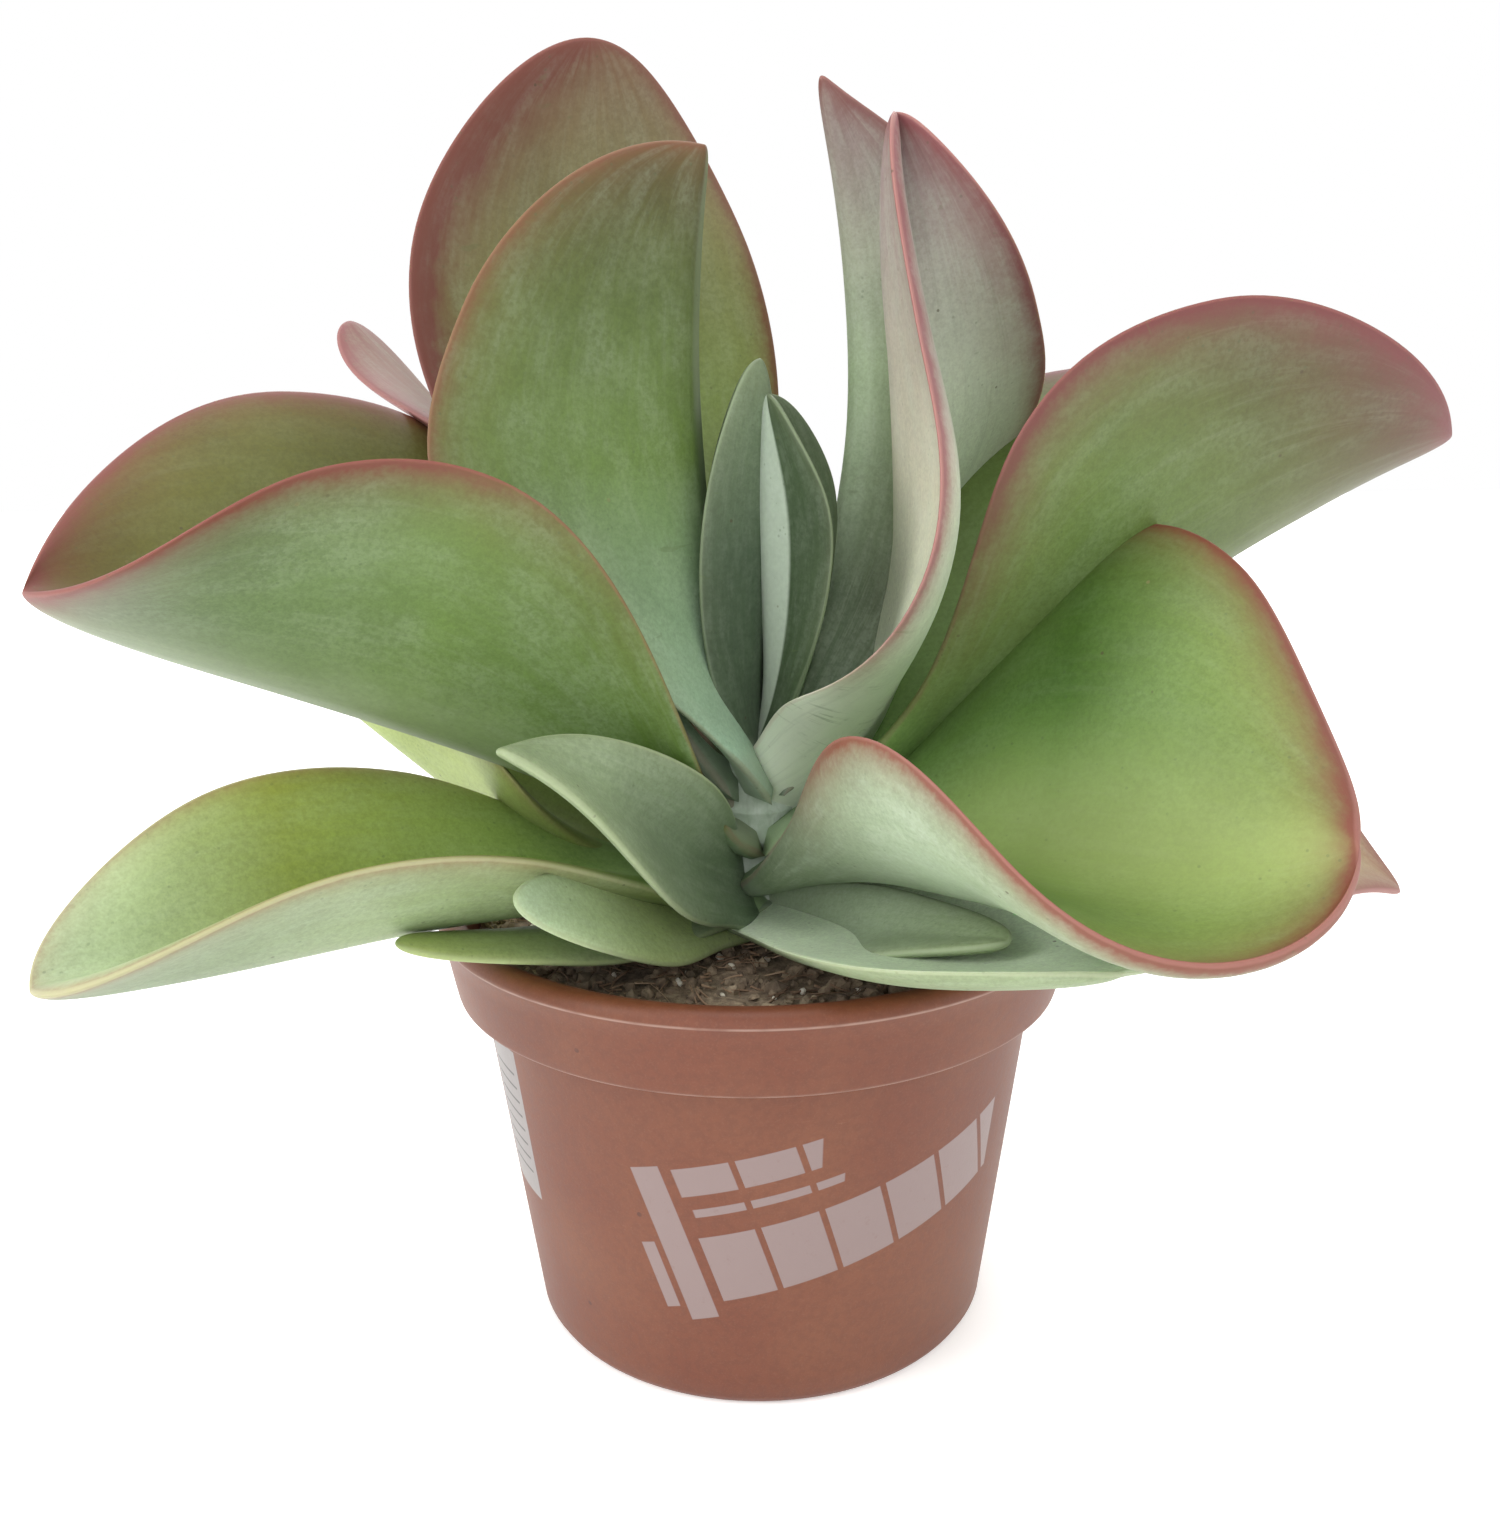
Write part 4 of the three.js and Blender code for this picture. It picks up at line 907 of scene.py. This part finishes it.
def leafMaterial(name, leaf, seed):
    board = Board(name)
    point = board.add("ShaderNodeMapping", None,
                      {"Vector": board.objectPoint(), "Location": (seed * 0.37, seed * 0.21, 0)})[0]
    uv = board.add("ShaderNodeUVMap", {"uv_map": "blade"})[0]
    u, v, _ = board.split(uv)
    under = u > 1.5
    across = u - 2.0 * under
    toMargin = board.attribute("toMargin")

    def alongBlade(tones):
        places = leaf.get("stops", blade["stops"])
        colours = [paint(skinTones[tone]) for tone in tones]
        return board.colourRamp(v, list(zip(places, colours)))

    def onFace(pair):
        return pair[0] + under * (pair[1] - pair[0])

    broad = board.noise(point, 38, 3)
    patch = board.noise(point, 150, 4, 0.6)
    fine = board.noise(point, 900, 3, 0.6)
    grain = board.noise(point, 2200, 2, 0.6)
    mottle = board.noise(board.join(across * 16.0, v * 7.0, seed * 2.3), 1.0, 5, 0.65)
    colour = board.mix(under, alongBlade(leaf["upper"]), alongBlade(leaf["lower"]))
    shade = 0.78 + 0.2 * broad.ramp(0.3, 0.7) + 0.16 * fine.ramp(0.3, 0.7)
    shade = shade + 0.12 * grain.ramp(0.3, 0.7)
    colour = board.mix(1.0, colour, board.join(shade, shade, shade), "MULTIPLY")

    # the pale foot that clasps the stem; on leaf_right_upright it is lifted near white, partly as
    # painted light
    code, share, end = leaf.get("foot", blade["foot"])
    foot = (v + (patch - 0.5) * 0.06).ramp(end, end * 0.6)
    colour = board.mix(foot * share, colour, paint(code))

    # sun flush over the tip and in from the margin, with a ragged front
    ragged = toMargin + (patch + mottle - 1.0) * leaf["flushReach"] * 0.9
    flush = ragged.fading(leaf["flushReach"]) + v.ramp(leaf["tipFrom"], 1.05) * leaf["tipShare"]
    flush = flush * v.ramp(0.12, 0.5) * (0.75 + 0.5 * broad) * onFace(leaf["flushOn"])
    flush = flush * (1 + leaf.get("flushSide", 0) * (1 - 2 * across))
    colour = board.mix(flush.clamped(), colour, paint(leaf["flush"]))

    # whitish bloom, rubbed off in patches, then the belly, painted light down the hollow of the upper
    # face and faint lines along the blade
    bloom = mottle.ramp(0.36, 0.66) * (0.5 + 0.5 * patch.ramp(0.32, 0.62))
    bloom = bloom * (0.5 + 0.5 * fine.ramp(0.35, 0.6)) * onFace(leaf["bloom"])
    colour = board.mix(bloom * 0.4, colour, paint(skinMarks["bloom"]))
    # a paler band along the middle of the lower face
    if "belly" in leaf:
        belly = abs(across - 0.5).ramp(0.26, 0.0) * under * (0.7 + 0.6 * mottle) * leaf["belly"]
        colour = board.mix(belly, colour, paint(skinMarks["belly"]))
    # painted light: a paler wash down the hollow of the upper face, lifting the shade the fold casts
    # there
    if "paintedLightValley" in leaf:
        paintedLightValley = abs(across - 0.5).ramp(0.24, 0.0) * (1 - under) * v.ramp(0.15, 0.5) * leaf["paintedLightValley"]
        colour = board.mix(paintedLightValley, colour, paint(skinMarks["paintedLightValley"]))
    lines = board.noise(board.join(across * 60.0, v * 5.0, seed * 1.7), 1.0, 4, 0.65)
    streak = onFace(leaf["streak"])
    colour = board.mix(lines.ramp(0.52, 0.7) * streak * 0.6, colour, paint(skinMarks["paleLine"]))
    colour = board.mix(lines.ramp(0.48, 0.32) * streak * 0.5, colour, paint(skinMarks["darkLine"]))
    if "keel" in leaf:  # a pale band along the fold; on leaf_inner_right it is a painted highlight for the lit narrow half beside the fold
        code, share, low, high = leaf["keel"]
        side = 2 * across - 1
        keel = side.ramp(low - 0.02, low + 0.02) * side.ramp(high + 0.03, high - 0.03)
        colour = board.mix(keel * (share * (0.7 + 0.3 * fine)), colour, paint(code))

    # the red rim, and the thin pale line round the margin: partly its own colour, partly a painted
    # highlight
    reach = leaf["rimReach"]
    rim = (toMargin - reach * 0.4 + (fine - 0.5) * 1.2 + (patch - 0.5) * reach).fading(reach)
    rim = rim * v.ramp(leaf["rimFrom"], leaf["rimFrom"] + 0.25) * onFace(leaf["rimOn"])
    colour = board.mix(rim.clamped(), colour, paint(leaf["rim"]))
    thin = leaf["edgeWidth"]
    edge = (toMargin + (patch - 0.5) * 0.4).ramp(thin * 1.5, thin * 0.5)
    colour = board.mix(edge * (0.25 + 0.3 * v.ramp(0.15, 0.6)), colour, paint(leaf["edge"]))

    # rubbed scratches across the blade, dark pin marks, small pits and a few corky specks
    scratch = board.noise(board.join(across * 9.0, v * 60.0, seed * 3.1), 1.0, 2).ramp(0.69, 0.73)
    colour = board.mix(scratch * broad.ramp(0.5, 0.62) * 0.25, colour, paint(skinMarks["scratch"]))
    if "scratched" in leaf:  # old arcs scored across the pale foot
        share, start, end = leaf["scratched"]
        zone = v.ramp(start - 0.04, start) * v.ramp(end + 0.04, end) * patch.ramp(0.42, 0.6)
        arcs = board.noise(board.join(across * 5.0, v * 120.0 + across * 22.0), 1.0, 3).ramp(0.56, 0.62)
        colour = board.mix(arcs * zone * share, colour, paint(skinMarks["arc"]))
    pins = board.cells(point, 230).ramp(0.1, 0.05) * board.noise(point, 60, 1).ramp(0.58, 0.66)
    colour = board.mix(pins * 0.65, colour, paint(skinMarks["pin"]))
    pits = board.cells(point, 430).ramp(0.16, 0.08) * patch.ramp(0.45, 0.6)
    colour = board.mix(pits * 0.3, colour, paint(skinMarks["pit"]))
    corky = board.cells(point, 90).ramp(0.05, 0.03) * board.noise(point, 33, 1).ramp(0.6, 0.66)
    colour = board.mix(corky * 0.4, colour, paint(skinMarks["cork"]))

    board.feed("Base Color", colour)
    board.feed("Roughness", 0.5 + 0.12 * bloom + 0.08 * (fine - 0.5))
    board.bump(fine * 0.3 + grain * 0.12 + lines * 0.5 + patch * 0.5, 0.2, 0.0004)
    board.feed("Subsurface Weight", 0.1)
    board.feed("Subsurface Radius", (0.6, 1.0, 0.35))
    board.feed("Subsurface Scale", 0.002)
    board.feed("Specular IOR Level", 0.3)
    return board.material


def makeLeaf(name, leaf, seed):
    bm = bmesh.new()
    bmesh.ops.create_grid(bm, x_segments=blade["columns"], y_segments=blade["rows"], size=1)
    lower = bmesh.ops.duplicate(bm, geom=bm.verts[:] + bm.edges[:] + bm.faces[:])["geom"]
    for part in lower:
        if isinstance(part, bmesh.types.BMVert):
            part.co.z = -1
    bmesh.ops.reverse_faces(bm, faces=[part for part in lower if isinstance(part, bmesh.types.BMFace)])
    placeBlade(leaf, bm, seed)
    bmesh.ops.remove_doubles(bm, verts=bm.verts[:], dist=2e-6)
    finishPiece(bm, name + "_blade", leafMaterial(name.replace("_", " "), leaf, seed), name)


for number, (leafName, leafForm) in enumerate(leaves.items()):
    makeLeaf(leafName, leafForm, number + 1)
print("leaves made:", len(leaves))


# floor, light and camera

# each light has its place, its size and its power
studio = {"floor": 0.96, "floorGlow": 0.3, "floorReach": 2.0, "tent": 0.85, "backdrop": 1.0,
          "lights": [((-0.95, -0.40, 0.65), 0.7, 7.0), ((0.0, -0.25, 1.25), 0.8, 4.5),
                     ((-0.15, -1.05, 0.42), 0.8, 3.0), ((0.95, -0.35, 0.55), 0.7, 2.4),
                     ((0.0, 1.5, 1.2), 1.4, 16.0)],
          "eye": (-0.0017, -0.295, 0.1925), "pitch": 14.62, "yaw": 0.16, "roll": -0.84,
          "lens": 35.456}


def makeFloor():
    bm = bmesh.new()
    bmesh.ops.create_grid(bm, x_segments=8, y_segments=8, size=studio["floorReach"])
    mesh = bpy.data.meshes.new("floor")
    bm.to_mesh(mesh)
    bm.free()
    floor = bpy.data.objects.new("floor", mesh)
    bpy.context.scene.collection.objects.link(floor)
    board = Board("pale floor", 0.7)
    level = studio["floor"]
    board.feed("Base Color", (level, level, level, 1))
    board.feed("Emission Color", (1, 1, 1, 1))
    board.feed("Emission Strength", studio["floorGlow"])
    board.feed("Specular IOR Level", 0.1)
    mesh.materials.append(board.material)


def makeLights():
    world = bpy.data.worlds.new("studio")
    bpy.context.scene.world = world
    world.use_nodes = True
    tree = world.node_tree
    towards = tree.nodes.new("ShaderNodeTexCoord").outputs["Object"]
    depth = tree.nodes.new("ShaderNodeSeparateXYZ")
    fade = tree.nodes.new("ShaderNodeMapRange")
    tree.links.new(towards, depth.inputs[0])
    tree.links.new(depth.outputs["Y"], fade.inputs["Value"])
    fade.inputs["From Min"].default_value = 0.1
    fade.inputs["From Max"].default_value = 0.5
    fade.inputs["To Min"].default_value = studio["tent"]
    fade.inputs["To Max"].default_value = studio["backdrop"]
    tree.links.new(fade.outputs[0], tree.nodes["Background"].inputs["Strength"])
    tree.nodes["Background"].inputs["Color"].default_value = (1, 1, 1, 1)
    for place, size, power in studio["lights"]:
        data = bpy.data.lights.new("softbox", "AREA")
        data.size = size
        data.energy = power
        lamp = bpy.data.objects.new("softbox", data)
        lamp.location = place
        aim = Vector((0, min(max(place[1], 0), 1.5), 0.13)) - Vector(place)
        lamp.rotation_euler = aim.to_track_quat("-Z", "Y").to_euler()
        bpy.context.scene.collection.objects.link(lamp)


def makeCamera():
    pitch, yaw, roll = (radians(studio[key]) for key in ("pitch", "yaw", "roll"))
    ahead = Vector((sin(yaw) * cos(pitch), cos(yaw) * cos(pitch), -sin(pitch)))
    level = Vector((cos(yaw), -sin(yaw), 0))
    upright = level.cross(ahead)
    right = level * cos(roll) + upright * sin(roll)
    up = upright * cos(roll) - level * sin(roll)
    data = bpy.data.cameras.new("camera")
    data.sensor_width = 36
    data.lens = studio["lens"]
    camera = bpy.data.objects.new("camera", data)
    turn = Matrix((right, up, -ahead)).transposed()
    camera.matrix_world = Matrix.Translation(studio["eye"]) @ turn.to_4x4()
    bpy.context.scene.collection.objects.link(camera)
    bpy.context.scene.camera = camera


makeFloor()
makeLights()
makeCamera()
bpy.context.scene.view_settings.view_transform = "Standard"
print("studio made")
